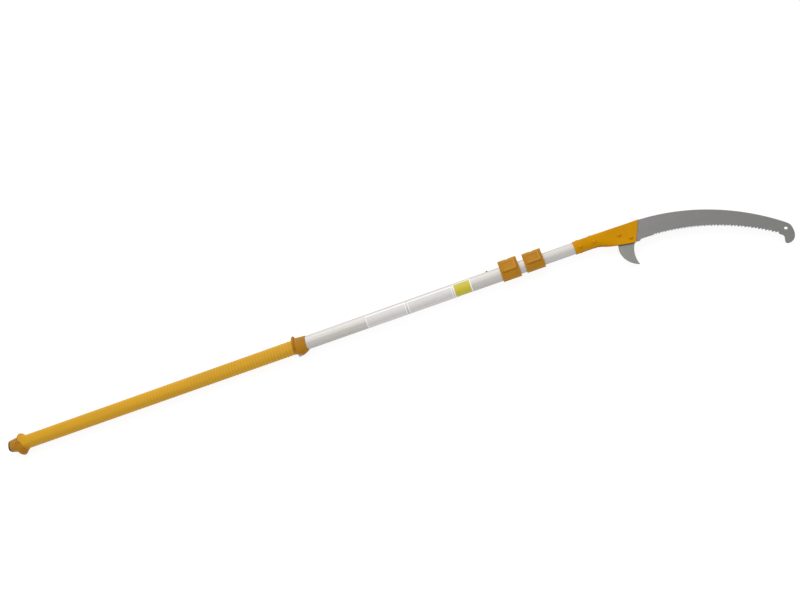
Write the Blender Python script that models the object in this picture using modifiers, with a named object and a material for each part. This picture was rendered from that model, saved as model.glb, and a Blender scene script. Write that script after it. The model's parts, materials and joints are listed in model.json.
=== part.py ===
"""Telescopic pole saw, closed up and lying on its side, as separate pieces.

The pole lies along +X with its butt first and the saw blade at the far end. The blade's plane is level:
its spine looks along +Y, its teeth and the sickle along -Y. +Z is up, and the flats on the backs of the
guards and locks stand on the floor. Inside this script every place is counted from the butt's end (x) and
from the pole's axis (y, z). The last step moves the whole saw to stand over the origin.
"""

import math

import bmesh
import bpy
from mathutils import Matrix, Vector

MM = 0.001

# Clearance between pieces, and how far a cutter runs past what it cuts
GAP = 0.3 * MM
PAST = 1.0 * MM

# Clearance under a bolt's head, and the radius of a domed head over its shank's
SEAT_GAP = 1.5 * GAP
DOME_OVER_SHANK = 2.0

# Height of the pole's axis over the floor
AXIS_HEIGHT = 22.0 * MM

# Cross-section of the tubes: a superellipse of this power, drawn with this many points
OVAL_POWER = 2.6
OVAL_SIDES = 16

# Base tube: half height (y), half depth (z) and the wall that all three tubes share
BASE_HALF_Y = 20.6 * MM
BASE_HALF_Z = 15.6 * MM
TUBE_WALL = 1.4 * MM

# Butt: rubber cushion and end guard. The butt's underside begins later than its top, by the slant, which
# fades out at a share of the guard's length
CUSHION_LENGTH = 7.7 * MM
CUSHION_ROUNDING = 5.0 * MM
CUSHION_BULGE = 0.3
BUTT_SLANT = 4.5 * MM
SLANT_FADES_AT = 0.5
GUARD_LENGTH = 48.0 * MM
GUARD_END_WALL = 20.0 * MM
GUARD_RIVET_RADIUS = 1.6 * MM
GUARD_RIVET_AT = 27.5 * MM

# Cross-sections of the end guard: share of its length, then how far the upper half, the lower half and
# the depth stand out from the base tube, in mm
GUARD_SHAPE = [
    (0.00, 1.2, -3.0, -1.0),
    (0.50, 3.4, 3.0, 3.5),
    (0.68, 3.9, 7.0, 4.0),
    (0.77, 9.0, 15.5, 10.5),
    (0.82, 11.5, 17.0, 12.0),
    (0.89, 11.5, 17.0, 12.0),
    (0.94, 4.0, 9.0, 5.0),
    (1.00, 2.2, 3.0, 2.2),
]

# Grip sleeve
SLEEVE_LENGTH = 945.4 * MM
SLEEVE_WALL = 1.3 * MM
SLEEVE_PLAIN_END = 22.0 * MM
RIB_PITCH = 10.0 * MM
RIB_DEPTH = 0.7 * MM

# Hand stop, its cross-sections in the same form as the end guard's, and its screw
STOP_LENGTH = 43.5 * MM
STOP_SCREW_RADIUS = 3.0 * MM
STOP_SCREW_HEAD = 2.4 * MM
STOP_SCREW_AT = 16.0 * MM
STOP_SHAPE = [
    (0.00, 3.3, 1.8, 2.8),
    (0.04, 11.0, 1.8, 7.0),
    (0.08, 13.0, 1.9, 8.0),
    (0.16, 13.0, 3.2, 8.0),
    (0.22, 4.0, 5.5, 5.5),
    (0.28, 3.9, 12.0, 5.2),
    (0.60, 3.0, 12.4, 4.5),
    (0.97, 2.0, 3.2, 2.0),
    (1.00, 1.5, 1.5, 1.5),
]

# Base tube that shows between the hand stop and the first lock, and the release button on it
BASE_SHOWS = 614.0 * MM
BUTTON_TO_LOCK = 38.0 * MM
BUTTON_RADIUS = 2.4 * MM
BUTTON_PROUD = 5.5 * MM
BUTTON_STROKE = 1.0 * MM
BUTTON_FLANGE = 1.0 * MM
EYELET_WALL = 1.0 * MM
EYELET_LIP = 0.5 * MM
EYELET_BRIM = 1.0 * MM
SPRING_PRESSED = 0.3 * MM

# Locks: the split collar
LOCK_LENGTH = 54.5 * MM
LOCK_SPACE = 17.5 * MM
TUBE_IN_LOCK = 35.0 * MM
COLLAR_WALL = 4.2 * MM
COLLAR_FRONT = 4.0 * MM
COLLAR_SHOULDER = 5.6 * MM
COLLAR_CHAMFER = 9.6 * MM
EAR_OVER_BOLT = 4.4 * MM
EAR_CHAMFER = 1.0 * MM
SLIT = 3.0 * MM
COLLAR_SCREW_AT = 11.0 * MM
COLLAR_SCREW_RADIUS = 1.8 * MM
SCREW_SEAT = 1.2 * MM
LINER_RECESS = 1.0 * MM

# Locks: the cam lever, its pin and the draw bolt with its nut
BOLT_OVER_TUBE = 6.2 * MM
PIVOT_BEHIND_LEVER = 3.2 * MM
CAM_RADIUS = 6.0 * MM
CAM_THROW = 0.7 * MM
LEVER_BELOW_AXIS = 10.6 * MM
LEVER_OVER_PIVOT = 3.4 * MM
LEVER_THICKNESS = 6.4 * MM
LEVER_SIDE_BEVEL = 8.5 * MM
LEVER_TOP_BEVEL = 11.0 * MM
LEVER_PIN_RADIUS = 1.8 * MM
LEVER_PIN_LENGTH = 28.0 * MM
BOLT_EYE_RADIUS = 4.0 * MM
BOLT_EYE_WIDTH = 7.4 * MM
DRAW_BOLT_RADIUS = 2.0 * MM
DRAW_NUT_RADIUS = 4.0 * MM
DRAW_NUT_HEIGHT = 3.4 * MM
BOLT_PAST_NUT = 1.0 * MM

# Telescoping: the travel of each tube, its tail bush, and the snap pin on its leaf spring
STROKE = 1220.0 * MM
PIN_FROM_TAIL = 54.0 * MM
SNAP_PIN_RADIUS = 3.0 * MM
LEAF_LENGTH = 43.0 * MM
LEAF_WIDTH = 8.0 * MM
LEAF_THICKNESS = 0.6 * MM
LEAF_BELOW_PLUG = 2.4 * MM
LEAF_IN_BUSH = 4.0 * MM
LEAF_ROOM = 0.6 * MM
BUSH_RIM = 4.0 * MM
BUSH_PLUG = 20.0 * MM

# Inner tube that shows between the second lock and the bracket, and the bracket's socket
INNER_SHOWS = 90.6 * MM
SHEET = 1.5 * MM
SOCKET_LENGTH = 73.7 * MM
SOCKET_RAKE = 8.0 * MM
TUBE_IN_SOCKET = 64.7 * MM
SOCKET_BOLT_FIRST = 16.7 * MM
SOCKET_BOLT_SECOND = 56.7 * MM
SOCKET_BOLT_LOW = 8.0 * MM
SOCKET_SCREW_FIRST = 13.5 * MM
SOCKET_SCREW_SECOND = 52.0 * MM
SOCKET_SCREW_RADIUS = 2.4 * MM
SOCKET_SCREW_HEAD = 2.6 * MM
BOLT_RADIUS = 3.0 * MM
BOLT_HEAD_RADIUS = 5.6 * MM
BOLT_HEAD_HEIGHT = 3.6 * MM
NUT_HEIGHT = 3.2 * MM

# Bracket's flat end: its length along the upper edge, how far its lower corner lies back and hangs down,
# and where the blades' tangs begin behind the socket
BRACKET_LENGTH = 193.2 * MM
BRACKET_RAKE = 31.5 * MM
BRACKET_DEEP = 48.0 * MM
TANG_FROM_SOCKET = 43.0 * MM

# How the bracket flattens behind its socket: shares of its lower edge's drop, of the space between its
# plates and of the socket's bulge
BRACKET_FLATTENS = [
    (0.38, 0.8, 0.5),
    (0.66, 1.0, 0.04),
    (0.87, 1.0, 0.0),
]

# The two bolts through the tangs, as (x, y) in mm from the tangs' start
TANG_BOLTS = [(10.5, -9.5), (36.5, -29.0)]

# Saw blade. Its arcs' highest points and its other places along x are counted from the bracket's start
BLADE_THICKNESS = 1.6 * MM
TANG_CORNER = 31.5 * MM
TANG_INSIDE = 7.0 * MM
SPINE_STEPS = 16
SPINE_BEFORE_NOSE = 4.5 * MM
SPINE_RADIUS = 497.0 * MM
SPINE_TOP = 18.0 * MM
SPINE_APEX = 169.0 * MM
EDGE_RADIUS = 482.0 * MM
EDGE_TOP = -43.3 * MM
EDGE_APEX = 185.0 * MM
HEEL_FROM_BRACKET = 11.0 * MM
HEEL_DROP = 5.3 * MM
PLAIN_EDGE = 40.0 * MM
PLAIN_STEP = 2.0 * MM
TOOTH_PITCH = 8.44 * MM
TOOTH_DEPTH = 5.4 * MM
TOOTH_PAST_ARC = 1.4 * MM
TOOTH_LEAN = 0.22
NOSE_HOLE_AT = 524.4 * MM
NOSE_HOLE_UNDER_SPINE = 24.3 * MM
NOSE_HOLE_RADIUS = 4.3 * MM

# The nose and its hook, as (x, y) in mm from the nose hole, from the spine's end to the last tooth
NOSE_EDGE = [
    (11.8, 11.0),
    (14.4, 6.8),
    (15.5, 0.5),
    (15.6, -7.6),
    (14.3, -18.6),
    (11.6, -26.4),
    (6.9, -34.9),
    (1.1, -40.1),
    (-5.4, -43.2),
    (-10.4, -43.9),
    (-15.0, -43.2),
    (-18.0, -41.0),
    (-18.6, -36.7),
    (-16.2, -29.8),
    (-14.2, -23.7),
    (-13.8, -19.6),
    (-14.9, -17.0),
    (-17.8, -13.8),
    (-21.2, -10.3),
    (-22.2, -7.0),
]

# Sickle blade: its tang, and for each of its two arcs the centre from the tangs' start, the radius, the
# first and the last angle in degrees, and the number of steps
SICKLE_THICKNESS = 2.4 * MM
SICKLE_TANG_WIDTH = 44.0 * MM
SICKLE_OUTER_X = 54.6 * MM
SICKLE_OUTER_Y = -59.4 * MM
SICKLE_OUTER_RADIUS = 60.2 * MM
SICKLE_OUTER_SPAN = (246.0, 160.8, 14)
SICKLE_INNER_X = 114.0 * MM
SICKLE_INNER_Y = -94.0 * MM
SICKLE_INNER_RADIUS = 85.4 * MM
SICKLE_INNER_SPAN = (146.6, 194.3, 10)

# Places and sizes that follow from those above
MIDDLE_HALF_Y = BASE_HALF_Y - TUBE_WALL - GAP
MIDDLE_HALF_Z = BASE_HALF_Z - TUBE_WALL - GAP
INNER_HALF_Y = MIDDLE_HALF_Y - TUBE_WALL - GAP
INNER_HALF_Z = MIDDLE_HALF_Z - TUBE_WALL - GAP

GUARD_START = CUSHION_LENGTH + GAP
GUARD_END = GUARD_START + GUARD_LENGTH
BASE_START = GUARD_START + GUARD_END_WALL
RIVET_X = GUARD_START + GUARD_RIVET_AT
SLEEVE_START = GUARD_END + GAP
SLEEVE_END = SLEEVE_START + SLEEVE_LENGTH
STOP_START = SLEEVE_END + GAP
STOP_END = STOP_START + STOP_LENGTH
LOCK_1 = STOP_END + BASE_SHOWS
LOCK_2 = LOCK_1 + LOCK_LENGTH + LOCK_SPACE
BASE_END = LOCK_1 + TUBE_IN_LOCK
MIDDLE_END = LOCK_2 + TUBE_IN_LOCK
BUTTON_AT = LOCK_1 - BUTTON_TO_LOCK
MIDDLE_HOLE = LOCK_2 - BUTTON_TO_LOCK
PIN_1 = BUTTON_AT - STROKE
PIN_2 = MIDDLE_HOLE - STROKE
MIDDLE_START = PIN_1 - PIN_FROM_TAIL
INNER_START = PIN_2 - PIN_FROM_TAIL
BRACKET = LOCK_2 + LOCK_LENGTH + INNER_SHOWS
INNER_END = BRACKET + TUBE_IN_SOCKET
TANG = BRACKET + SOCKET_LENGTH + TANG_FROM_SOCKET

# The bracket's plates hold both blades: half the space between them, and each blade's middle
STACK_HALF = (BLADE_THICKNESS + SICKLE_THICKNESS + 3 * GAP) / 2
BLADE_Z = STACK_HALF - GAP - BLADE_THICKNESS / 2
SICKLE_Z = -STACK_HALF + GAP + SICKLE_THICKNESS / 2
BLADE_BOLTS = [(TANG + x * MM, y * MM) for x, y in TANG_BOLTS]
SOCKET_BOLTS = [BRACKET + SOCKET_BOLT_FIRST, BRACKET + SOCKET_BOLT_SECOND]
SOCKET_SCREWS = [BRACKET + SOCKET_SCREW_FIRST, BRACKET + SOCKET_SCREW_SECOND]

COLOURS = {
    "black_rubber": ((52, 50, 44), 0.75, 0.0),
    "orange_plastic": ((206, 140, 40), 0.45, 0.0),
    "yellow_vinyl": ((222, 168, 40), 0.5, 0.0),
    "lock_plastic": ((206, 134, 38), 0.4, 0.0),
    "aluminium": ((205, 202, 198), 0.35, 0.9),
    "steel": ((150, 150, 150), 0.35, 0.9),
    "dark_steel": ((80, 80, 82), 0.4, 0.9),
    "white_plastic": ((225, 225, 220), 0.4, 0.0),
    "bracket_paint": ((226, 150, 14), 0.35, 0.0),
    "blade_steel": ((132, 132, 132), 0.35, 0.9),
    "sickle_steel": ((145, 143, 140), 0.35, 0.9),
}


def clear_scene():
    for old in list(bpy.data.objects):
        bpy.data.objects.remove(old)


def linear(value):
    """One sRGB channel, 0 to 255, as the linear value that a shader takes."""
    share = value / 255
    return share / 12.92 if share <= 0.04045 else ((share + 0.055) / 1.055) ** 2.4


def new_material(name):
    rgb, roughness, metallic = COLOURS[name]
    material = bpy.data.materials.new(name)
    material.use_nodes = True
    shader = material.node_tree.nodes["Principled BSDF"]
    shader.inputs["Base Color"].default_value = (*[linear(c) for c in rgb], 1)
    shader.inputs["Roughness"].default_value = roughness
    shader.inputs["Metallic"].default_value = metallic
    return material


def new_collection(name):
    collection = bpy.data.collections.new(name)
    bpy.context.scene.collection.children.link(collection)
    return collection


clear_scene()
PARTS = new_collection("pole_saw")
CUTTERS = new_collection("cutters")
MATERIALS = {name: new_material(name) for name in COLOURS}
ROOT = bpy.data.objects.new("saw_frame", None)
PARTS.objects.link(ROOT)

# Turns a flat outline's (x, y, z) so that its thickness runs along the named axis of the saw
TURNS = {
    "X": Matrix(((0, 0, 1), (1, 0, 0), (0, 1, 0))).to_4x4(),
    "Y": Matrix(((0, 1, 0), (0, 0, 1), (1, 0, 0))).to_4x4(),
    "Z": Matrix.Identity(4),
}


def add(name, mesh, colour=None, parent=None):
    """A piece in its colour, or a cutter when it has none."""
    obj = bpy.data.objects.new(name, mesh)
    obj.parent = parent or ROOT
    if colour:
        PARTS.objects.link(obj)
        mesh.materials.clear()
        mesh.materials.append(MATERIALS[colour])
    else:
        CUTTERS.objects.link(obj)
        obj.hide_render = True
        obj.display_type = "WIRE"
    return obj


def smooth(obj, angle=35):
    obj.data.shade_smooth()
    obj.data.set_sharp_from_angle(angle=math.radians(angle))
    return obj


def boolean(obj, other, operation):
    step = obj.modifiers.new(other.name, "BOOLEAN")
    step.operation = operation
    step.solver = "EXACT"
    step.object = other
    return obj


def cut(obj, *cutters):
    for cutter in cutters:
        boolean(obj, cutter, "DIFFERENCE")
    return obj


def join(obj, *others):
    for other in others:
        boolean(obj, other, "UNION")
    return obj


def mesh_of_curve(name, curve):
    """The curve's mesh with its caps welded on. The curve itself is removed."""
    guide = bpy.data.objects.new(name + "_curve", curve)
    CUTTERS.objects.link(guide)
    graph = bpy.context.evaluated_depsgraph_get()
    mesh = bpy.data.meshes.new_from_object(guide.evaluated_get(graph))
    mesh.name = name
    bpy.data.objects.remove(guide)
    bpy.data.curves.remove(curve)
    work = bmesh.new()
    work.from_mesh(mesh)
    bmesh.ops.remove_doubles(work, verts=work.verts, dist=0.001 * MM)
    bmesh.ops.recalc_face_normals(work, faces=work.faces)
    work.to_mesh(mesh)
    work.free()
    return mesh


def prism(name, outlines, start, end, axis="X", colour=None, parent=None):
    """An outline, and any holes in it as further outlines, extruded from start to end along an axis.

    Along X the outline's points are (y, z), along Y (z, x) and along Z (x, y).
    """
    curve = bpy.data.curves.new(name, "CURVE")
    curve.dimensions = "2D"
    curve.fill_mode = "BOTH"
    curve.extrude = (end - start) / 2
    for outline in outlines:
        spline = curve.splines.new("POLY")
        spline.points.add(len(outline) - 1)
        spline.use_cyclic_u = True
        spline.use_smooth = False
        for point, (a, b) in zip(spline.points, outline):
            point.co = (a, b, 0, 1)
    mesh = mesh_of_curve(name, curve)
    middle = Matrix.Translation((0, 0, (start + end) / 2))
    mesh.transform(TURNS[axis] @ middle)
    return add(name, mesh, colour, parent)


def rod(name, radius, start, end, centre, axis, colour=None, parent=None, sides=16):
    """A round or hexagonal bar along an axis, through centre, the two other coordinates in X, Y, Z order."""
    work = bmesh.new()
    bmesh.ops.create_cone(
        work, cap_ends=True, segments=sides, radius1=radius, radius2=radius, depth=end - start
    )
    mesh = bpy.data.meshes.new(name)
    work.to_mesh(mesh)
    work.free()
    mesh.transform(Matrix.Translation((0, 0, (start + end) / 2)))
    mesh.transform(TURNS[axis])
    one, two = centre
    moves = {"X": (0, one, two), "Y": (one, 0, two), "Z": (one, two, 0)}
    mesh.transform(Matrix.Translation(moves[axis]))
    return smooth(add(name, mesh, colour, parent)) if sides > 6 else add(name, mesh, colour, parent)


def block(name, low, high, colour=None, parent=None):
    """A box between two corners."""
    work = bmesh.new()
    bmesh.ops.create_cube(work, size=1.0)
    mesh = bpy.data.meshes.new(name)
    work.to_mesh(mesh)
    work.free()
    low, high = Vector(low), Vector(high)
    mesh.transform(Matrix.Translation((low + high) / 2) @ Matrix.Diagonal(high - low).to_4x4())
    return add(name, mesh, colour, parent)


def turned(name, profile, colour, place, steps=16, parent=None):
    """A profile of (radius, height) points, top to bottom down its outer side, turned round place's Z."""
    mesh = bpy.data.meshes.new(name)
    count = len(profile)
    closed = profile[0][0] > 0 and profile[-1][0] > 0
    edges = [(i, i + 1) for i in range(count - 1)] + ([(count - 1, 0)] if closed else [])
    mesh.from_pydata([(r, 0, h) for r, h in profile], edges, [])
    obj = add(name, mesh, colour, parent)
    obj.matrix_local = place
    screw = obj.modifiers.new("turn", "SCREW")
    screw.steps = steps
    screw.render_steps = steps
    screw.use_merge_vertices = True
    screw.merge_threshold = 0.01 * MM
    screw.use_smooth_shade = True
    return obj


def oval(half_y, half_z, lower_half_y=None):
    """An oval outline of (y, z) points. Its lower half may be taller than its upper half."""
    points = []
    for i in range(OVAL_SIDES):
        angle = 2 * math.pi * i / OVAL_SIDES
        y, z = math.cos(angle), math.sin(angle)
        y = math.copysign(abs(y) ** (2 / OVAL_POWER), y)
        z = math.copysign(abs(z) ** (2 / OVAL_POWER), z)
        reach = half_y if y > 0 or lower_half_y is None else lower_half_y
        points.append((reach * y, half_z * z))
    return points


def oval_height(half_y, half_z, z):
    """How high an oval's top facet stands at a small distance z from its middle."""
    next_y, next_z = oval(half_y, half_z)[1]
    return half_y - (half_y - next_y) * z / next_z


def oval_loft(name, stations, colour=None):
    """A closed solid through ovals. A station is (x, upper half height, lower half height, half depth)."""
    work = bmesh.new()
    rings = []
    for x, up, down, depth in stations:
        rings.append([work.verts.new((x, y, z)) for y, z in oval(up, depth, down)])
    for near, far in zip(rings, rings[1:]):
        for i in range(OVAL_SIDES):
            j = (i + 1) % OVAL_SIDES
            work.faces.new((near[i], near[j], far[j], far[i]))
    work.faces.new(rings[0])
    work.faces.new(rings[-1])
    bmesh.ops.triangulate(work, faces=work.faces)
    bmesh.ops.recalc_face_normals(work, faces=work.faces)
    mesh = bpy.data.meshes.new(name)
    work.to_mesh(mesh)
    work.free()
    return smooth(add(name, mesh, colour))


def shaped(start, length, shape):
    """Stations of a piece over the base tube, from its table of cross-sections."""
    stations = []
    for share, up, down, depth in shape:
        x = start + length * share
        stations.append((x, BASE_HALF_Y + up * MM, BASE_HALF_Y + down * MM, BASE_HALF_Z + depth * MM))
    return stations


def standing_out(start, length, shape, x):
    """How far a piece of such a table stands out from the base tube at x: (upper, lower, depth)."""
    share = (x - start) / length
    for near, far in zip(shape, shape[1:]):
        if share <= far[0]:
            break
    part = (share - near[0]) / (far[0] - near[0])
    return [(a + (b - a) * part) * MM for a, b in zip(near[1:], far[1:])]


def oval_tube(name, start, end, half_y, half_z, wall, colour):
    outer = oval(half_y, half_z)
    bore = oval(half_y - wall, half_z - wall)
    return smooth(prism(name, [outer, bore], start, end, "X", colour))


def oval_bore(name, start, end, half_y, half_z):
    """A cutter for a bore that clears an oval of this size."""
    return prism(name, [oval(half_y + GAP, half_z + GAP)], start, end, "X")


def floor_cutter(name, start, end):
    """A cutter that takes off whatever would hang below the floor."""
    reach = 3 * AXIS_HEIGHT
    return block(name, (start - PAST, -reach, -reach), (end + PAST, reach, -AXIS_HEIGHT))


def arc(centre, radius, start, end, count):
    """Points on a circle between two angles in degrees, counted from +X towards +Y."""
    points = []
    for i in range(count + 1):
        angle = math.radians(start + (end - start) * i / count)
        points.append((centre[0] + radius * math.cos(angle), centre[1] + radius * math.sin(angle)))
    return points


def place(x, y, z, axis="Z", flip=False):
    """A matrix at a point whose Z looks along the named axis of the saw, or the other way."""
    turn = TURNS[axis] @ (Matrix.Rotation(math.pi, 4, "X") if flip else Matrix.Identity(4))
    return Matrix.Translation((x, y, z)) @ turn


def dome_head(radius, height, shank_radius, shank):
    """Profile of a rivet or screw: a domed head over z = 0 and a shank below it."""
    rim = [(radius * math.sin(math.radians(a)), height * math.cos(math.radians(a))) for a in (0, 30, 60, 90)]
    return rim + [(shank_radius, 0), (shank_radius, -shank), (0, -shank)]


def slant_end(obj):
    """Moves the underside of the butt's end along the pole, less and less towards the guard's middle."""
    fade = GUARD_START + GUARD_LENGTH * SLANT_FADES_AT
    for vert in obj.data.vertices:
        near = min(max((fade - vert.co.x) / (fade - GUARD_START), 0), 1)
        low = min(max((BASE_HALF_Y - vert.co.y) / (2 * BASE_HALF_Y), 0), 1)
        vert.co.x += BUTT_SLANT * near * low
    return obj


def make_butt():
    _, up, down, depth = shaped(GUARD_START, GUARD_LENGTH, GUARD_SHAPE)[0]
    stations = []
    for share, inset in ((0, CUSHION_ROUNDING), (CUSHION_BULGE, CUSHION_ROUNDING * CUSHION_BULGE), (1, 0)):
        stations.append((CUSHION_LENGTH * share, up - inset, down - inset, depth - inset))
    slant_end(oval_loft("butt_cushion", stations, "black_rubber"))
    guard = oval_loft("end_guard", shaped(GUARD_START, GUARD_LENGTH, GUARD_SHAPE), "orange_plastic")
    head_radius = DOME_OVER_SHANK * GUARD_RIVET_RADIUS
    _, _, waist = standing_out(GUARD_START, GUARD_LENGTH, GUARD_SHAPE, RIVET_X + head_radius)
    head_z = BASE_HALF_Z + waist + GAP
    cut(
        slant_end(guard),
        oval_bore("guard_bore", BASE_START - GAP, GUARD_END + PAST, BASE_HALF_Y, BASE_HALF_Z),
        floor_cutter("guard_floor", GUARD_START, GUARD_END),
        rod("guard_rivet_hole", GUARD_RIVET_RADIUS + GAP, 0, 2 * head_z, (RIVET_X, 0), "Z"),
    )
    shank = head_z - (BASE_HALF_Z - TUBE_WALL)
    turned(
        "guard_rivet",
        dome_head(head_radius, GUARD_RIVET_RADIUS, GUARD_RIVET_RADIUS, shank),
        "steel",
        place(RIVET_X, 0, head_z),
    )


def make_sleeve():
    """The ribbed sleeve: a run of crests and valleys, with the tube's bore through it."""
    crest_y = BASE_HALF_Y + GAP + SLEEVE_WALL
    crest_z = BASE_HALF_Z + GAP + SLEEVE_WALL
    ribs = int((SLEEVE_LENGTH - SLEEVE_PLAIN_END) / RIB_PITCH)
    first = SLEEVE_END - ribs * RIB_PITCH
    crest = (crest_y, crest_y, crest_z)
    valley = (crest_y - RIB_DEPTH, crest_y - RIB_DEPTH, crest_z - RIB_DEPTH)
    stations = [(SLEEVE_START, *crest), (first - RIB_PITCH / 2, *crest)]
    for i in range(ribs):
        stations.append((first + i * RIB_PITCH, *valley))
        stations.append((first + (i + 0.5) * RIB_PITCH, *crest))
    stations.append((SLEEVE_END, *valley))
    sleeve = smooth(oval_loft("grip_sleeve", stations, "yellow_vinyl"), 60)
    cut(sleeve, oval_bore("sleeve_bore", SLEEVE_START - PAST, SLEEVE_END + PAST, BASE_HALF_Y, BASE_HALF_Z))


def make_hand_stop():
    stop = oval_loft("hand_stop", shaped(STOP_START, STOP_LENGTH, STOP_SHAPE), "orange_plastic")
    screw_x = STOP_START + STOP_SCREW_AT
    head_radius = DOME_OVER_SHANK * STOP_SCREW_RADIUS
    around = [screw_x - head_radius, screw_x, screw_x + head_radius]
    belly = max(standing_out(STOP_START, STOP_LENGTH, STOP_SHAPE, x)[1] for x in around)
    head_y = -BASE_HALF_Y - belly - GAP
    hole = STOP_SCREW_RADIUS + GAP
    cut(
        stop,
        rod("stop_screw_hole", hole, 2 * head_y, 0, (screw_x, 0), "Y"),
        oval_bore("stop_bore", STOP_START - PAST, STOP_END + PAST, BASE_HALF_Y, BASE_HALF_Z),
        floor_cutter("stop_floor", STOP_START, STOP_END),
    )
    shank = -BASE_HALF_Y - GAP - head_y
    turned(
        "stop_screw",
        dome_head(head_radius, STOP_SCREW_HEAD, STOP_SCREW_RADIUS, shank),
        "dark_steel",
        place(screw_x, head_y, 0, "Y", flip=True),
    )


def make_base_tube():
    tube = oval_tube("base_tube", BASE_START, BASE_END, BASE_HALF_Y, BASE_HALF_Z, TUBE_WALL, "aluminium")
    button_hole = BUTTON_RADIUS + BUTTON_FLANGE + EYELET_WALL
    screw_hole = COLLAR_SCREW_RADIUS + GAP
    cut(
        tube,
        rod("base_rivet_hole", GUARD_RIVET_RADIUS + GAP, 0, 2 * BASE_HALF_Z, (RIVET_X, 0), "Z"),
        rod("base_button_hole", button_hole, 0, 2 * BASE_HALF_Y, (BUTTON_AT, 0), "Y"),
        rod("base_screw_hole", screw_hole, -2 * BASE_HALF_Y, 0, (LOCK_1 + COLLAR_SCREW_AT, 0), "Y"),
    )


def make_release_button():
    """A flanged button in an eyelet, over the hole that the middle tube's snap pin drops into."""
    bore = BUTTON_RADIUS + GAP
    room = BUTTON_RADIUS + BUTTON_FLANGE
    outside = room + EYELET_WALL
    neck = outside - GAP
    brim = BASE_HALF_Y + GAP
    bottom = BASE_HALF_Y - TUBE_WALL + GAP
    floor = bottom + EYELET_LIP
    flange_low = floor + GAP + SPRING_PRESSED + GAP + BUTTON_STROKE
    flange_top = flange_low + EYELET_LIP
    ceiling = flange_top + GAP
    top = ceiling + EYELET_LIP
    button_top = BASE_HALF_Y + BUTTON_PROUD
    edge = BUTTON_RADIUS / 4
    turned(
        "button_eyelet",
        [
            (bore, top),
            (outside, top),
            (outside + EYELET_BRIM, brim),
            (neck, brim),
            (neck, bottom),
            (bore, bottom),
            (bore, floor),
            (room, floor),
            (room, ceiling),
            (bore, ceiling),
        ],
        "dark_steel",
        place(BUTTON_AT, 0, 0, "Y"),
    )
    turned(
        "release_button",
        [
            (0, button_top),
            (BUTTON_RADIUS - edge, button_top),
            (BUTTON_RADIUS, button_top - edge),
            (BUTTON_RADIUS, flange_top),
            (room - GAP, flange_top),
            (room - GAP, flange_low),
            (0, flange_low),
        ],
        "dark_steel",
        place(BUTTON_AT, 0, 0, "Y"),
    )
    turned(
        "button_spring",
        [
            (BUTTON_RADIUS - edge, floor + GAP + SPRING_PRESSED),
            (room - GAP, floor + GAP + SPRING_PRESSED),
            (room - GAP, floor + GAP),
            (BUTTON_RADIUS - edge, floor + GAP),
        ],
        "steel",
        place(BUTTON_AT, 0, 0, "Y"),
    )


def make_collar(number, start, half_y, half_z, pivot, ear_face):
    """The split collar, whose two ears the draw bolt pulls together."""
    end = start + LOCK_LENGTH
    middle = start + LOCK_LENGTH / 2
    screw_x = start + COLLAR_SCREW_AT
    pivot_y, _ = pivot
    front = half_z + GAP + COLLAR_FRONT
    under = half_y + COLLAR_WALL
    shoulder = half_y - COLLAR_SHOULDER
    notch = pivot_y - DRAW_NUT_RADIUS - GAP
    ear_top = pivot_y + EAR_OVER_BOLT
    outline = [
        (-LEVER_BELOW_AXIS - COLLAR_FRONT, front),
        (-under, front - COLLAR_CHAMFER),
        (-under, -half_z + COLLAR_CHAMFER),
        (-shoulder, -AXIS_HEIGHT),
        (shoulder, -AXIS_HEIGHT),
        (notch, -half_z),
        (notch, -ear_face),
        (ear_top - EAR_CHAMFER, -ear_face),
        (ear_top, -ear_face + EAR_CHAMFER),
        (ear_top, ear_face - EAR_CHAMFER),
        (ear_top - EAR_CHAMFER, ear_face),
        (notch, ear_face),
        (half_y - COLLAR_FRONT, front),
    ]
    collar = prism(f"clamp_collar_{number}", [outline], start, end, "X", "lock_plastic")
    bolt_hole = DRAW_BOLT_RADIUS + GAP
    screw_hole = COLLAR_SCREW_RADIUS + GAP
    head_radius = DOME_OVER_SHANK * COLLAR_SCREW_RADIUS
    head_y = -under + SCREW_SEAT
    slit_low, slit_high = (start - PAST, 0, -SLIT / 2), (end + PAST, 2 * ear_top, SLIT / 2)
    cut(
        collar,
        oval_bore(f"collar_bore_{number}", start - PAST, end + PAST, half_y, half_z),
        block(f"collar_slit_{number}", slit_low, slit_high),
        rod(f"cam_room_{number}", CAM_RADIUS + 2 * GAP, start - PAST, end + PAST, pivot, "X"),
        rod(f"bolt_hole_{number}", bolt_hole, -2 * AXIS_HEIGHT, 2 * AXIS_HEIGHT, (middle, pivot_y), "Z"),
        rod(f"screw_hole_{number}", screw_hole, -2 * under, 0, (screw_x, 0), "Y"),
        rod(f"screw_seat_{number}", head_radius + 2 * GAP, -2 * under, head_y, (screw_x, 0), "Y"),
    )
    shank = -head_y - half_y + TUBE_WALL
    turned(
        f"collar_screw_{number}",
        dome_head(head_radius, SCREW_SEAT - GAP, COLLAR_SCREW_RADIUS, shank),
        "steel",
        place(screw_x, head_y - GAP, 0, "Y", flip=True),
    )


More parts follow.
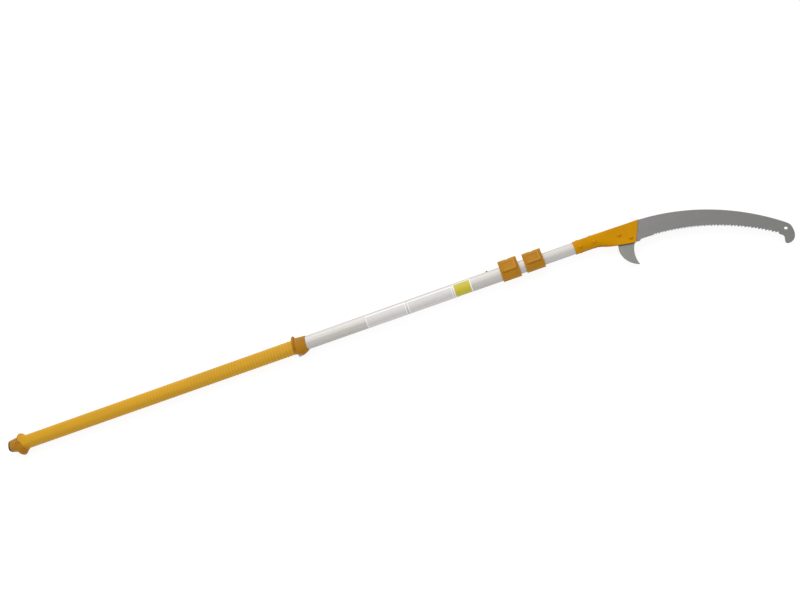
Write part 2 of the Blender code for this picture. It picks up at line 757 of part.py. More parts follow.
def make_lock(number, start, half_y, half_z, next_half_y):
    """A collar on a tube's end, the liner that it squeezes on the next tube, and its cam lever."""
    end = start + LOCK_LENGTH
    middle = start + LOCK_LENGTH / 2
    liner_start = start + TUBE_IN_LOCK + GAP
    lever_back = half_z + GAP + COLLAR_FRONT + GAP
    pivot_y = half_y + BOLT_OVER_TUBE
    pivot_z = lever_back - PIVOT_BEHIND_LEVER
    pivot = (pivot_y, pivot_z)
    ear_face = pivot_z - CAM_RADIUS - GAP
    make_collar(number, start, half_y, half_z, pivot, ear_face)

    wall = half_y - next_half_y - GAP
    liner = oval_tube(
        f"tube_liner_{number}", liner_start, end - LINER_RECESS, half_y, half_z, wall, "white_plastic"
    )
    slit_low, slit_high = (liner_start - PAST, 0, -SLIT / 2), (end, 2 * half_y, SLIT / 2)
    cut(liner, block(f"liner_slit_{number}", slit_low, slit_high))

    eye_low, eye_high = middle - BOLT_EYE_WIDTH / 2, middle + BOLT_EYE_WIDTH / 2
    nut_face = -ear_face - GAP
    nut_end = nut_face - DRAW_NUT_HEIGHT
    bolt_at = (middle, pivot_y)
    eye = rod(f"draw_bolt_{number}", BOLT_EYE_RADIUS, eye_low, eye_high, pivot, "X", "steel")
    join(eye, rod(f"draw_shank_{number}", DRAW_BOLT_RADIUS, nut_end - BOLT_PAST_NUT, pivot_z, bolt_at, "Z"))
    cut(eye, rod(f"eye_hole_{number}", LEVER_PIN_RADIUS + GAP, start, end, pivot, "X"))
    nut = rod(f"draw_nut_{number}", DRAW_NUT_RADIUS, nut_end, nut_face, bolt_at, "Z", "steel", sides=6)
    cut(nut, rod(f"nut_hole_{number}", DRAW_BOLT_RADIUS + GAP, 2 * nut_end, 0, bolt_at, "Z"))
    half_pin = LEVER_PIN_LENGTH / 2
    rod(f"lever_pin_{number}", LEVER_PIN_RADIUS, middle - half_pin, middle + half_pin, pivot, "X", "steel")

    hinge = bpy.data.objects.new(f"lever_hinge_{number}", None)
    hinge.parent = ROOT
    hinge.location = (middle, pivot_y, pivot_z)
    PARTS.objects.link(hinge)
    make_lever(number, hinge, -LEVER_BELOW_AXIS - pivot_y)


def make_lever(number, hinge, bottom):
    """The lever, in its hinge's own place: a cam barrel, and a plate with a raised pad over the collar."""
    half = LOCK_LENGTH / 2
    top = LEVER_OVER_PIVOT
    back = PIVOT_BEHIND_LEVER
    front = back + LEVER_THICKNESS
    name = f"lock_lever_{number}"
    plate = block(name, (-half, bottom, back), (half, top, front), "lock_plastic", hinge)
    for vert in plate.data.vertices:
        if vert.co.z > (back + front) / 2:
            vert.co.x -= math.copysign(LEVER_SIDE_BEVEL, vert.co.x)
            if vert.co.y > 0:
                vert.co.y -= LEVER_TOP_BEVEL
    barrel = CAM_RADIUS - CAM_THROW
    slot = BOLT_EYE_WIDTH / 2 + GAP
    eye_room = BOLT_EYE_RADIUS + 2 * GAP
    pin_hole = LEVER_PIN_LENGTH / 2 + GAP
    slot_low, slot_high = (-slot, -eye_room, -2 * CAM_RADIUS), (slot, 2 * CAM_RADIUS, eye_room)
    cam = (0, -CAM_THROW)
    join(plate, rod(f"cam_barrel_{number}", barrel, -half, half, cam, "X", parent=hinge, sides=24))
    cut(
        plate,
        block(f"cam_slot_{number}", slot_low, slot_high, parent=hinge),
        rod(f"lever_hole_{number}", LEVER_PIN_RADIUS + GAP, -pin_hole, pin_hole, (0, 0), "X", parent=hinge),
    )


def make_sliding_tube(name, number, start, end, half_y, half_z, pin_x):
    """A tube with its tail bush, leaf spring and snap pin. Returns the tube, for further holes."""
    tube = oval_tube(name, start, end, half_y, half_z, TUBE_WALL, "aluminium")
    cut(tube, rod(f"pin_hole_{number}", SNAP_PIN_RADIUS + GAP, 0, 2 * half_y, (pin_x, 0), "Y"))

    plug_y = half_y - TUBE_WALL - GAP
    plug_z = half_z - TUBE_WALL - GAP
    rim_end = start - GAP
    rim_start = rim_end - BUSH_RIM
    rim = [oval(half_y, half_z)]
    plug = [oval(plug_y, plug_z)]
    bush = prism(f"tail_bush_{number}", rim, rim_start, rim_end, "X", "white_plastic")
    join(bush, prism(f"bush_plug_{number}", plug, rim_start + BUSH_RIM / 2, rim_end + BUSH_PLUG, "X"))
    leaf_y = plug_y - LEAF_BELOW_PLUG
    leaf_start = rim_end + BUSH_PLUG - LEAF_IN_BUSH
    room_y = LEAF_THICKNESS / 2 + LEAF_ROOM
    room_z = LEAF_WIDTH / 2 + LEAF_ROOM
    pocket_low = (leaf_start - LEAF_ROOM, leaf_y - room_y, -room_z)
    pocket_high = (start + 2 * BUSH_PLUG, leaf_y + room_y, room_z)
    cut(bush, block(f"leaf_pocket_{number}", pocket_low, pocket_high))

    root = LEAF_IN_BUSH / 2
    hinge = bpy.data.objects.new(f"leaf_root_{number}", None)
    hinge.parent = ROOT
    hinge.location = (leaf_start + root, leaf_y, 0)
    PARTS.objects.link(hinge)
    leaf_low = (-root, -LEAF_THICKNESS / 2, -LEAF_WIDTH / 2)
    leaf_high = (LEAF_LENGTH - root, LEAF_THICKNESS / 2, LEAF_WIDTH / 2)
    block(f"snap_leaf_{number}", leaf_low, leaf_high, "steel", hinge)
    pin_radius = SNAP_PIN_RADIUS - GAP
    pin_top = oval_height(half_y, half_z, SNAP_PIN_RADIUS) - leaf_y
    pin_foot = LEAF_THICKNESS / 2 + GAP
    pin_edge = SNAP_PIN_RADIUS / 5
    profile = [
        (0, pin_top),
        (pin_radius - pin_edge, pin_top),
        (pin_radius, pin_top - pin_edge),
        (pin_radius, pin_foot),
        (0, pin_foot),
    ]
    pin_place = Matrix.Translation((pin_x - leaf_start - root, 0, 0)) @ TURNS["Y"]
    turned(f"snap_pin_{number}", profile, "steel", pin_place, parent=hinge)
    return tube


def make_middle_tube():
    tube = make_sliding_tube("middle_tube", 1, MIDDLE_START, MIDDLE_END, MIDDLE_HALF_Y, MIDDLE_HALF_Z, PIN_1)
    high = 2 * MIDDLE_HALF_Y
    screw_hole = COLLAR_SCREW_RADIUS + GAP
    cut(
        tube,
        rod("latch_hole", SNAP_PIN_RADIUS + GAP, 0, high, (MIDDLE_HOLE, 0), "Y"),
        rod("middle_screw_hole", screw_hole, -high, 0, (LOCK_2 + COLLAR_SCREW_AT, 0), "Y"),
    )


def make_inner_tube():
    tube = make_sliding_tube("inner_tube", 2, INNER_START, INNER_END, INNER_HALF_Y, INNER_HALF_Z, PIN_2)
    deep = 2 * INNER_HALF_Z
    for i, x in enumerate(SOCKET_BOLTS):
        cut(tube, rod(f"tube_bolt_hole_{i}", BOLT_RADIUS + GAP, -deep, deep, (x, -SOCKET_BOLT_LOW), "Z"))
    for i, x in enumerate(SOCKET_SCREWS):
        cut(tube, rod(f"tube_screw_hole_{i}", SOCKET_SCREW_RADIUS + GAP, 0, 2 * INNER_HALF_Y, (x, 0), "Y"))


def bracket_stations():
    """The bracket's inner surface, from the socket to its far edge.

    A station is the upper end and the lower end of one line across it, each (x, y), then how far the
    surface stands off the saw's plane there and how much more it bulges at its middle.
    """
    edge = INNER_HALF_Y + GAP
    bulge = INNER_HALF_Z + GAP
    socket = BRACKET + SOCKET_LENGTH
    socket_low = socket - SOCKET_RAKE
    closed = TANG - GAP
    closed_low = closed - SOCKET_RAKE / 2
    far = BRACKET + BRACKET_LENGTH
    far_low = far - BRACKET_RAKE
    stations = [
        ((BRACKET, edge), (BRACKET, -edge), GAP / 2, bulge),
        ((BRACKET + SOCKET_LENGTH / 2, edge), (BRACKET + SOCKET_LENGTH / 2, -edge), GAP / 2, bulge),
        ((socket, edge), (socket_low, -edge), GAP / 2, bulge),
    ]
    places = [
        ((socket + closed) / 2, (socket_low + closed_low) / 2),
        (closed, closed_low),
        ((closed + far) / 2, (closed_low + far_low) / 2),
    ]
    for (x_up, x_low), (fallen, opened, bulging) in zip(places, BRACKET_FLATTENS):
        low = -edge - (BRACKET_DEEP - edge) * fallen
        stations.append(((x_up, edge), (x_low, low), STACK_HALF * opened, bulge * bulging))
    stations.append(((far, edge), (far_low, -BRACKET_DEEP), STACK_HALF, 0))
    return stations


def make_bracket_half(name, side):
    """One pressed half, on the +Z side (1) or the -Z side (-1), which ends one facet short at its foot."""
    section = oval(1, 1)[OVAL_SIDES // 2 :: -1]
    section = section if side > 0 else section[1:]
    work = bmesh.new()
    rows = []
    for (x_up, y_up), (x_low, y_low), stand, bulge in bracket_stations():
        row = []
        for height, depth in section:
            share = (1 + height) / 2
            x = x_low + (x_up - x_low) * share
            y = y_low + (y_up - y_low) * share
            row.append(work.verts.new((x, y, side * (stand + bulge * depth))))
        rows.append(row)
    for near, far in zip(rows, rows[1:]):
        for i in range(len(section) - 1):
            corners = (near[i], far[i], far[i + 1], near[i + 1])
            work.faces.new(corners if side > 0 else corners[::-1])
    mesh = bpy.data.meshes.new(name)
    work.to_mesh(mesh)
    work.free()
    half = smooth(add(name, mesh, "bracket_paint"), 50)
    sheet = half.modifiers.new("sheet", "SOLIDIFY")
    sheet.thickness = SHEET
    sheet.offset = 1
    sheet.use_even_offset = True
    low, high = (0, 3 * AXIS_HEIGHT) if side > 0 else (-3 * AXIS_HEIGHT, 0)
    holes = [(x, -SOCKET_BOLT_LOW) for x in SOCKET_BOLTS] + BLADE_BOLTS
    for i, hole in enumerate(holes):
        cut(half, rod(f"{name}_hole_{i}", BOLT_RADIUS + GAP, low, high, hole, "Z"))
    for i, x in enumerate(SOCKET_SCREWS):
        cut(half, rod(f"{name}_screw_hole_{i}", SOCKET_SCREW_RADIUS + GAP, 0, 2 * INNER_HALF_Y, (x, 0), "Y"))


def make_bolt(number, x, y, seat):
    """A hexagon bolt and its nut through both halves of the bracket, seated at plus and minus seat."""
    top = seat + BOLT_HEAD_HEIGHT
    nut_end = -seat - NUT_HEIGHT
    shank_end = nut_end - BOLT_RADIUS / 6
    at = (x, y)
    paint = "bracket_paint"
    head = rod(f"bracket_bolt_{number}", BOLT_HEAD_RADIUS, seat, top, at, "Z", paint, sides=6)
    join(head, rod(f"bolt_shank_{number}", BOLT_RADIUS, shank_end, (seat + top) / 2, at, "Z"))
    nut = rod(f"bracket_nut_{number}", BOLT_HEAD_RADIUS, nut_end, -seat, at, "Z", paint, sides=6)
    cut(nut, rod(f"bracket_nut_hole_{number}", BOLT_RADIUS + GAP, 2 * nut_end, 0, at, "Z"))


def make_bracket():
    make_bracket_half("bracket_front", 1)
    make_bracket_half("bracket_back", -1)
    dome = INNER_HALF_Z + GAP + SHEET + SEAT_GAP
    for number, x in enumerate(SOCKET_BOLTS, 1):
        make_bolt(number, x, -SOCKET_BOLT_LOW, dome)
    for number, (x, y) in enumerate(BLADE_BOLTS, 3):
        make_bolt(number, x, y, STACK_HALF + SHEET + SEAT_GAP)
    head_y = INNER_HALF_Y + GAP + SHEET + SEAT_GAP
    head_radius = DOME_OVER_SHANK * SOCKET_SCREW_RADIUS
    shank = head_y - INNER_HALF_Y + TUBE_WALL
    for number, x in enumerate(SOCKET_SCREWS, 1):
        turned(
            f"socket_screw_{number}",
            dome_head(head_radius, SOCKET_SCREW_HEAD, SOCKET_SCREW_RADIUS, shank),
            "bracket_paint",
            place(x, head_y, 0, "Y"),
        )


def edge_arc(apex, top, radius, x):
    """The height at x of an arc whose highest point is at (apex, top)."""
    return top - radius + math.sqrt(radius**2 - (x - apex) ** 2)


def blade_outline():
    """Clockwise from the tang: along the spine, round the nose and its hook, and back along the teeth."""
    spine_apex = BRACKET + SPINE_APEX
    edge_apex = BRACKET + EDGE_APEX
    hole_x = BRACKET + NOSE_HOLE_AT
    hole = (hole_x, edge_arc(spine_apex, SPINE_TOP, SPINE_RADIUS, hole_x) - NOSE_HOLE_UNDER_SPINE)
    bracket_end = BRACKET + BRACKET_LENGTH
    spine_end = hole[0] + NOSE_EDGE[0][0] * MM - SPINE_BEFORE_NOSE
    tang_top = (INNER_HALF_Y + GAP) / 2
    points = [(TANG, BLADE_BOLTS[1][1]), (TANG, tang_top), (bracket_end - TANG_INSIDE, tang_top)]
    for i in range(SPINE_STEPS + 1):
        x = bracket_end + (spine_end - bracket_end) * i / SPINE_STEPS
        points.append((x, edge_arc(spine_apex, SPINE_TOP, SPINE_RADIUS, x)))
    points += [(hole[0] + x * MM, hole[1] + y * MM) for x, y in NOSE_EDGE]

    # The teeth, counted back from the nose: a steep face towards the handle and a long back
    heel = bracket_end - BRACKET_RAKE + HEEL_FROM_BRACKET
    teeth_from = heel + HEEL_DROP + PLAIN_EDGE
    first = math.asin((teeth_from - edge_apex) / EDGE_RADIUS)
    last = math.asin((hole[0] + NOSE_EDGE[-1][0] * MM - edge_apex) / EDGE_RADIUS)
    step = TOOTH_PITCH / EDGE_RADIUS
    teeth = int((last - first) / step)

    def on_edge(turn, depth):
        reach = EDGE_RADIUS + depth
        return (edge_apex + reach * math.sin(turn), EDGE_TOP - EDGE_RADIUS + reach * math.cos(turn))

    gullet = TOOTH_DEPTH - TOOTH_PAST_ARC
    for i in reversed(range(teeth)):
        points.append(on_edge(first + (i + 1) * step, gullet))
        points.append(on_edge(first + (i + TOOTH_LEAN) * step, -TOOTH_PAST_ARC))
    points.append(on_edge(first, gullet))
    plain = PLAIN_EDGE - PLAIN_STEP
    for x in (teeth_from - PLAIN_STEP, teeth_from - PLAIN_STEP - plain / 2, teeth_from - PLAIN_EDGE):
        points.append((x, edge_arc(edge_apex, EDGE_TOP, EDGE_RADIUS, x)))
    heel_low = EDGE_TOP - HEEL_DROP
    points.append((heel, heel_low))
    points.append((heel - HEEL_FROM_BRACKET, heel_low + HEEL_DROP / 2))
    points.append((TANG + TANG_CORNER, EDGE_TOP + HEEL_DROP / 2))
    return points, hole


def make_blades():
    outline, nose = blade_outline()
    low = BLADE_Z - BLADE_THICKNESS / 2
    blade = prism("saw_blade", [outline], low, low + BLADE_THICKNESS, "Z", "blade_steel")
    reach = 10 * BLADE_THICKNESS
    cut(blade, rod("nose_hole", NOSE_HOLE_RADIUS, -reach, reach, nose, "Z"))

    outer = (TANG + SICKLE_OUTER_X, SICKLE_OUTER_Y)
    inner = (TANG + SICKLE_INNER_X, SICKLE_INNER_Y)
    tang_end = TANG + SICKLE_TANG_WIDTH
    tang_top = (INNER_HALF_Y + GAP) / 4
    tang_low = BLADE_BOLTS[0][1] - BOLT_HEAD_RADIUS
    outline = [(TANG, tang_low), (TANG, tang_top), (tang_end, tang_top), (tang_end + BOLT_RADIUS, tang_low)]
    outline += arc(inner, SICKLE_INNER_RADIUS, *SICKLE_INNER_SPAN)
    outline += arc(outer, SICKLE_OUTER_RADIUS, *SICKLE_OUTER_SPAN)
    low = SICKLE_Z - SICKLE_THICKNESS / 2
    sickle = prism("sickle_blade", [outline], low, low + SICKLE_THICKNESS, "Z", "sickle_steel")
    for i, hole in enumerate(BLADE_BOLTS):
        cut(blade, rod(f"blade_bolt_hole_{i}", BOLT_RADIUS + GAP, -reach, reach, hole, "Z"))
        cut(sickle, rod(f"sickle_bolt_hole_{i}", BOLT_RADIUS + GAP, -reach, reach, hole, "Z"))


def stand_over_origin():
    """Moves the saw so that the middle of its footprint is over the origin, with the floor at z = 0."""
    bpy.context.view_layer.update()
    graph = bpy.context.evaluated_depsgraph_get()
    low, high = Vector((1e9, 1e9, 1e9)), Vector((-1e9, -1e9, -1e9))
    for obj in PARTS.objects:
        if obj.type != "MESH":
            continue
        shown = obj.evaluated_get(graph)
        for vert in shown.data.vertices:
            point = shown.matrix_world @ vert.co
            low = Vector(map(min, low, point))
            high = Vector(map(max, high, point))
    ROOT.location = (-(low.x + high.x) / 2, -(low.y + high.y) / 2, -low.z)
    bpy.context.view_layer.update()


make_butt()
make_sleeve()
make_hand_stop()
make_base_tube()
make_release_button()
make_lock(1, LOCK_1, BASE_HALF_Y, BASE_HALF_Z, MIDDLE_HALF_Y)
make_lock(2, LOCK_2, MIDDLE_HALF_Y, MIDDLE_HALF_Z, INNER_HALF_Y)
make_middle_tube()
make_inner_tube()
make_bracket()
make_blades()
stand_over_origin()
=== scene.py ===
"""The looks of the telescopic pole saw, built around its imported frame.

Places inside this script are counted as in the CAD source: x from the butt's end, y and z from the pole's
axis. AXIS moves them into the frame. The sizes of a cross-section are half its height and half its depth.
"""

import json
from collections import namedtuple
from math import asin, copysign, cos, pi, radians, sin, sqrt

import bmesh
import bpy
from mathutils import Euler, Matrix, Vector

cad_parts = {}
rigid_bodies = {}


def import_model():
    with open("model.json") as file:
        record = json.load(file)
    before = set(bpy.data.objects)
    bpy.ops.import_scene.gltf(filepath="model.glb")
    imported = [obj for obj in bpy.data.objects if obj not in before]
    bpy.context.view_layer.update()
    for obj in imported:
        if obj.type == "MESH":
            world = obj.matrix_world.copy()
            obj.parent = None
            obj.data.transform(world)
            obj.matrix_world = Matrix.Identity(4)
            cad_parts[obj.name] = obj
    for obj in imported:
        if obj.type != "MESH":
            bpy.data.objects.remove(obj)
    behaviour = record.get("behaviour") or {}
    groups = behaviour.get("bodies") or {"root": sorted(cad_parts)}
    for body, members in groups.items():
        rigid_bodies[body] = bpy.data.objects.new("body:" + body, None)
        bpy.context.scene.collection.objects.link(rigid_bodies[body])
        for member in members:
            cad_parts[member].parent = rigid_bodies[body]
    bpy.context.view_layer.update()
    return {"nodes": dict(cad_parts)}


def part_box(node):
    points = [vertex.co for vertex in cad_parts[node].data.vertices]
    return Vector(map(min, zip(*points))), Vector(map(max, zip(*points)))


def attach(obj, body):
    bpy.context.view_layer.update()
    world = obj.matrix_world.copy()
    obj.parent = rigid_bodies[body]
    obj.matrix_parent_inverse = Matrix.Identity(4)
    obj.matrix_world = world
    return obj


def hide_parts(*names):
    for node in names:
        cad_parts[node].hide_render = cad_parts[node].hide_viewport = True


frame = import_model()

MM = 0.001
GAP = 0.3 * MM
PAST = 1.0 * MM
ROD_EDGE = 0.3 * MM
BOLT_EDGE = 0.4 * MM

# The oval tubes: power and points of their cross-section, wall, broken end edges, and the base tube's start
OVAL_POWER = 2.6
OVAL_SIDES = 72
TUBE_WALL = 1.4 * MM
TUBE_EDGE = 0.3 * MM
BASE_START = 28.0 * MM

BASE_LOW, BASE_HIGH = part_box("base_tube")
AXIS = Vector((BASE_LOW.x - BASE_START, (BASE_LOW.y + BASE_HIGH.y) / 2, (BASE_LOW.z + BASE_HIGH.z) / 2))
FLOOR_BELOW = AXIS.z

Half = namedtuple("Half", "y z")


def span(node):
    """Where a node starts and ends along the pole."""
    low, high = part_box(node)
    return low.x - AXIS.x, high.x - AXIS.x


def half_sizes(node):
    low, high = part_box(node)
    return Half((high.y - low.y) / 2, (high.z - low.z) / 2)


BASE, MIDDLE, INNER = half_sizes("base_tube"), half_sizes("middle_tube"), half_sizes("inner_tube")
GUARD_START, GUARD_END = span("end_guard")
SLEEVE_START, SLEEVE_END = span("grip_sleeve")
STOP_START, STOP_END = span("hand_stop")
LOCK_1, LOCK_1_END = span("clamp_collar_1")
LOCK_2 = span("clamp_collar_2")[0]
LOCK_LENGTH = LOCK_1_END - LOCK_1
BRACKET, BRACKET_END = span("bracket_front")
TANG = span("saw_blade")[0]

# Tables of cross-sections over the base tube: share of the piece's length, and how far it stands out above,
# below and to the sides in mm

# Butt: the cushion, with a groove round its end face as (depth, inset) in mm, the slant of the whole butt,
# the end guard with its rivet, and the toe that its front has below
CUSHION_LENGTH = 7.7 * MM
CUSHION_ROUNDING = 5.0 * MM
CUSHION_REACH = 0.98
CUSHION_GROOVE = [(0.15, 6.0), (0.9, 6.6), (0.9, 7.8), (0.15, 8.4), (0.15, 12.0)]
BUTT_SLANT = 4.5 * MM
SLANT_FADES_AT = 0.5
RIVET_X = GUARD_START + 27.5 * MM
RIVET_RADIUS = 1.6 * MM
GUARD = (GUARD_START, GUARD_END, [
    (0.00, 1.2, -3.0, -1.0),
    (0.50, 3.4, 3.0, 3.5),
    (0.70, 3.9, 7.0, 4.0),
    (0.775, 4.0, 14.5, 4.2),
    (0.79, 9.0, 16.0, 9.5),
    (0.80, 11.5, 17.0, 12.0),
    (0.845, 11.5, 17.0, 12.0),
    (0.855, 10.2, 16.8, 10.6),
    (0.88, 9.6, 16.4, 10.0),
    (0.93, 4.0, 10.0, 4.8),
    (1.00, 2.2, 3.0, 2.2),
])
TOE_FROM = GUARD_START + (GUARD_END - GUARD_START) * 0.87
TOE_LENGTH = 10.0 * MM
TOE_TOP = -4.0 * MM
TOE_LOW = -24.0 * MM
TOE_FADES_OVER = 16.0 * MM

# Grip sleeve: its flared end, whose lip runs slanting over the guard's front (in shares of the guard), and
# its ribs, which grow deeper towards the hand stop
SLEEVE_WALL = 1.3 * MM
FLARE_ON_RIM = 0.868
FLARE_BACK_RIM = 0.09
FLARE_AT_SIDE = 0.92
FLARE_SIDE_BELOW = 1.5 * MM
FLARE_SLANT = 17.8
FLARE_ENDS_AT = 0.995
FLARE_STEPS = 5
FLARE_INSIDE = 0.4 * MM
FLARE_WALL = 0.8 * MM
SLEEVE_PLAIN_END = 22.0 * MM
RIB_PITCH = 10.0 * MM
RIB_DEPTHS = (0.3 * MM, 0.9 * MM)
RIB_POINTS = 8

# Hand stop and its screw
STOP_SCREW_RADIUS = 3.0 * MM
STOP_SCREW_HEAD = 2.4 * MM
STOP_SCREW_X = STOP_START + 16.0 * MM
STOP = (STOP_START, STOP_END, [
    (0.00, 3.3, 1.8, 2.8),
    (0.04, 11.0, 1.8, 7.0),
    (0.08, 13.0, 1.9, 8.0),
    (0.16, 13.0, 3.2, 8.0),
    (0.21, 2.6, 4.2, 2.8),
    (0.25, 4.2, 9.5, 5.4),
    (0.30, 4.0, 12.2, 5.4),
    (0.60, 3.0, 12.4, 4.5),
    (0.97, 2.0, 3.2, 2.0),
    (1.00, 1.5, 1.5, 1.5),
])

# Release button and its eyelet
BUTTON_AT = (sum(span("release_button"))) / 2
BUTTON_RADIUS = 2.4 * MM
BUTTON_PROUD = 5.5 * MM
BUTTON_FLANGE = 1.0 * MM
EYELET_WALL = 1.0 * MM
EYELET_LIP = 0.5 * MM
EYELET_BRIM = 1.0 * MM

# Locks: collar
COLLAR_WALL = 4.2 * MM
COLLAR_FRONT = 4.0 * MM
COLLAR_SHOULDER = 5.6 * MM
COLLAR_CHAMFER = 9.6 * MM
COLLAR_FILLET = 1.4 * MM
FILLET_ROOM = 0.4
COLLAR_EDGE = 0.9 * MM
COLLAR_CORNER = 5.0 * MM
EAR_OVER_BOLT = 4.4 * MM
SLIT = 3.0 * MM
COLLAR_SCREW_AT = 11.0 * MM
COLLAR_SCREW_RADIUS = 1.8 * MM
SCREW_SEAT = 1.2 * MM
LINER_RECESS = 1.0 * MM
TUBE_IN_LOCK = 35.0 * MM

# Locks: lever with its finger pad, pin, draw bolt and nut
BOLT_OVER_TUBE = 6.2 * MM
PIVOT_BEHIND_LEVER = 3.2 * MM
CAM_RADIUS = 6.0 * MM
CAM_THROW = 0.7 * MM
LEVER_BELOW_AXIS = 10.6 * MM
LEVER_OVER_PIVOT = 3.4 * MM
LEVER_THICKNESS = 6.4 * MM
LEVER_SIDE_BEVEL = 8.5 * MM
LEVER_TOP_BEVEL = 11.0 * MM
LEVER_LOW_BEVEL = 3.0 * MM
LEVER_CORNER = (3.0 * MM, 6.5 * MM)
LEVER_EDGE = 0.8 * MM
PAD_RIM = 1.9 * MM
PAD_DEPTH = 0.8 * MM
LEVER_PIN_RADIUS = 1.8 * MM
LEVER_PIN_LENGTH = 28.0 * MM
BOLT_EYE_RADIUS = 4.0 * MM
BOLT_EYE_WIDTH = 7.4 * MM
DRAW_BOLT_RADIUS = 2.0 * MM
DRAW_NUT_RADIUS = 4.0 * MM
DRAW_NUT_HEIGHT = 3.4 * MM
BOLT_PAST_NUT = 1.0 * MM

# Snap pins and their holes
STROKE = 1220.0 * MM
SNAP_PIN_RADIUS = 3.0 * MM
MIDDLE_HOLE = LOCK_2 - (LOCK_1 - BUTTON_AT)

# Bracket: its socket, bolts and screws, how the corners of hexagons are turned off, then its flat end. How
# it flattens behind its socket is given by shares of its lower edge's drop, of the space between its plates
# and of the socket's bulge
SHEET = 1.5 * MM
SOCKET_LENGTH = 73.7 * MM
SOCKET_RAKE = 8.0 * MM
SOCKET_BOLTS = [(BRACKET + 16.7 * MM, -8.0 * MM), (BRACKET + 56.7 * MM, -8.0 * MM)]
SOCKET_SCREWS = [BRACKET + 13.5 * MM, BRACKET + 52.0 * MM]
SOCKET_SCREW_RADIUS = 2.4 * MM
SOCKET_SCREW_HEAD = 2.6 * MM
BOLT_RADIUS = 3.0 * MM
BOLT_HEAD_RADIUS = 5.6 * MM
BOLT_HEAD_HEIGHT = 2.9 * MM
NUT_HEIGHT = 3.2 * MM
SEAT_GAP = 1.5 * GAP
HEX_TAPER = 0.16
HEX_SLOPE = 0.8
HEX_CLEAR = 1.05
HEAD_OVER_KEY = 2.4
DOME_OVER_SHANK = 2.0
BRACKET_RAKE = 31.5 * MM
BRACKET_DEEP = 48.0 * MM
BRACKET_SIDES = 28
BRACKET_FLATTENS = [(0.38, 0.8, 0.5), (0.66, 1.0, 0.04), (0.87, 1.0, 0.0)]

# Both blades: their layers between the plates, the bolts through their tangs, and how edges are ground. An
# edge's tip lies further from the side that is ground more, and a corner that hardly turns counts as straight
BLADE_THICKNESS = 1.6 * MM
SICKLE_THICKNESS = 2.4 * MM
STACK_HALF = (BLADE_THICKNESS + SICKLE_THICKNESS + 3 * GAP) / 2
BLADE_Z = STACK_HALF - GAP - BLADE_THICKNESS / 2
SICKLE_Z = -STACK_HALF + GAP + SICKLE_THICKNESS / 2
BLADE_BOLTS = [(TANG + 10.5 * MM, -9.5 * MM), (TANG + 36.5 * MM, -29.0 * MM)]
EDGE_BREAK = 0.25 * MM
EDGE_SHIFT = 0.42
STRAIGHT_ON = 0.05
TOOTH_GRIND = 1.1 * MM
SICKLE_GRIND = 8.0 * MM

# Saw blade. Its spine and its toothed edge are arcs: their highest point (x, y) and their radius. The nose
# and its hook are (x, y) in mm from the nose hole
SPINE = (BRACKET + 169.0 * MM, 18.0 * MM, 497.0 * MM)
EDGE = (BRACKET + 185.0 * MM, -43.3 * MM, 482.0 * MM)
SPINE_STEPS = 72
SPINE_BEFORE_NOSE = 4.5 * MM
TANG_CORNER = 31.5 * MM
TANG_INSIDE = 7.0 * MM
HEEL_FROM_BRACKET = 11.0 * MM
HEEL_DROP = 5.3 * MM
PLAIN_EDGE = 40.0 * MM
PLAIN_STEPS = 12
TOOTH_PITCH = 8.44 * MM
TOOTH_DEPTH = 5.4 * MM
TOOTH_PAST_ARC = 1.4 * MM
TOOTH_LEAN = 0.22
NOSE_HOLE_X = BRACKET + 524.4 * MM
NOSE_HOLE_UNDER_SPINE = 24.3 * MM
NOSE_HOLE_RADIUS = 4.3 * MM
NOSE_EDGE = [
    (11.8, 11.0), (14.4, 6.8), (15.5, 0.5), (15.6, -7.6), (14.3, -18.6), (11.6, -26.4), (6.9, -34.9),
    (1.1, -40.1), (-5.4, -43.2), (-10.4, -43.9), (-15.0, -43.2), (-18.0, -41.0), (-18.6, -36.7),
    (-16.2, -29.8), (-14.2, -23.7), (-13.8, -19.6), (-14.9, -17.0), (-17.8, -13.8), (-21.2, -10.3),
    (-22.2, -7.0),
]

# Sickle: its tang, and its two arcs as centre (x, y), radius, first and last angle in degrees, and steps
SICKLE_TANG_WIDTH = 44.0 * MM
SICKLE_OUTER = (TANG + 54.6 * MM, -59.4 * MM, 60.2 * MM, 246.0, 160.8, 40)
SICKLE_INNER = (TANG + 114.0 * MM, -94.0 * MM, 85.4 * MM, 146.6, 194.3, 32)

# Stickers on the base tube: the turns in degrees between which they lie, their cells, of which some rows are
# printed white, where they start and end along the pole, and the width of the lines across
STICKER_TURNS = (57.0, 196.0)
STICKER_ROWS = 36
STICKER_COLUMNS = 8
STICKER_LINE_ROWS = (3, 4, 5, 29)
STICKER_PANELS = [(1240.0 * MM, 1368.0 * MM), (1372.0 * MM, 1512.0 * MM)]
STICKER_PATCH = (1514.0 * MM, 1569.0 * MM)
STICKER_THICKNESS = 0.12 * MM
STICKER_LINE = 2.4 * MM

# Light: the world's, the floor's own white, and the lamps, each (name, place, target, energy)
WORLD_STRENGTH = 0.62
FLOOR_GLOW_SHARE = 0.8
FLOOR_GLOW = 1.12
FLOOR_HALF = 9.0
FLOOR_DROP = 0.2 * MM
LAMP_SIZE = 3.6
LAMPS = [
    ("key", (-0.5, 3.4, 3.1), (0.1, 0, 0), 104.0),
    ("front_fill", (0.3, -3.4, 1.8), (0.1, 0, 0), 9.0),
]

# The camera, from the fit to the photograph: focal length in pixels of an 800 pixels wide picture, its
# place counted as the pieces' places are, and its turns
FOCAL_PIXELS = 755.0
PICTURE_WIDTH = 800.0
SENSOR = 36.0
CAMERA_PLACE = Vector((1.687764, -1.076098, 1.918999))
CAMERA_TURNS = (26.5454, 16.8196, -13.2697)


def clear_default_objects():
    for old in list(bpy.data.objects):
        if old.type in {"CAMERA", "LIGHT"}:
            bpy.data.objects.remove(old)


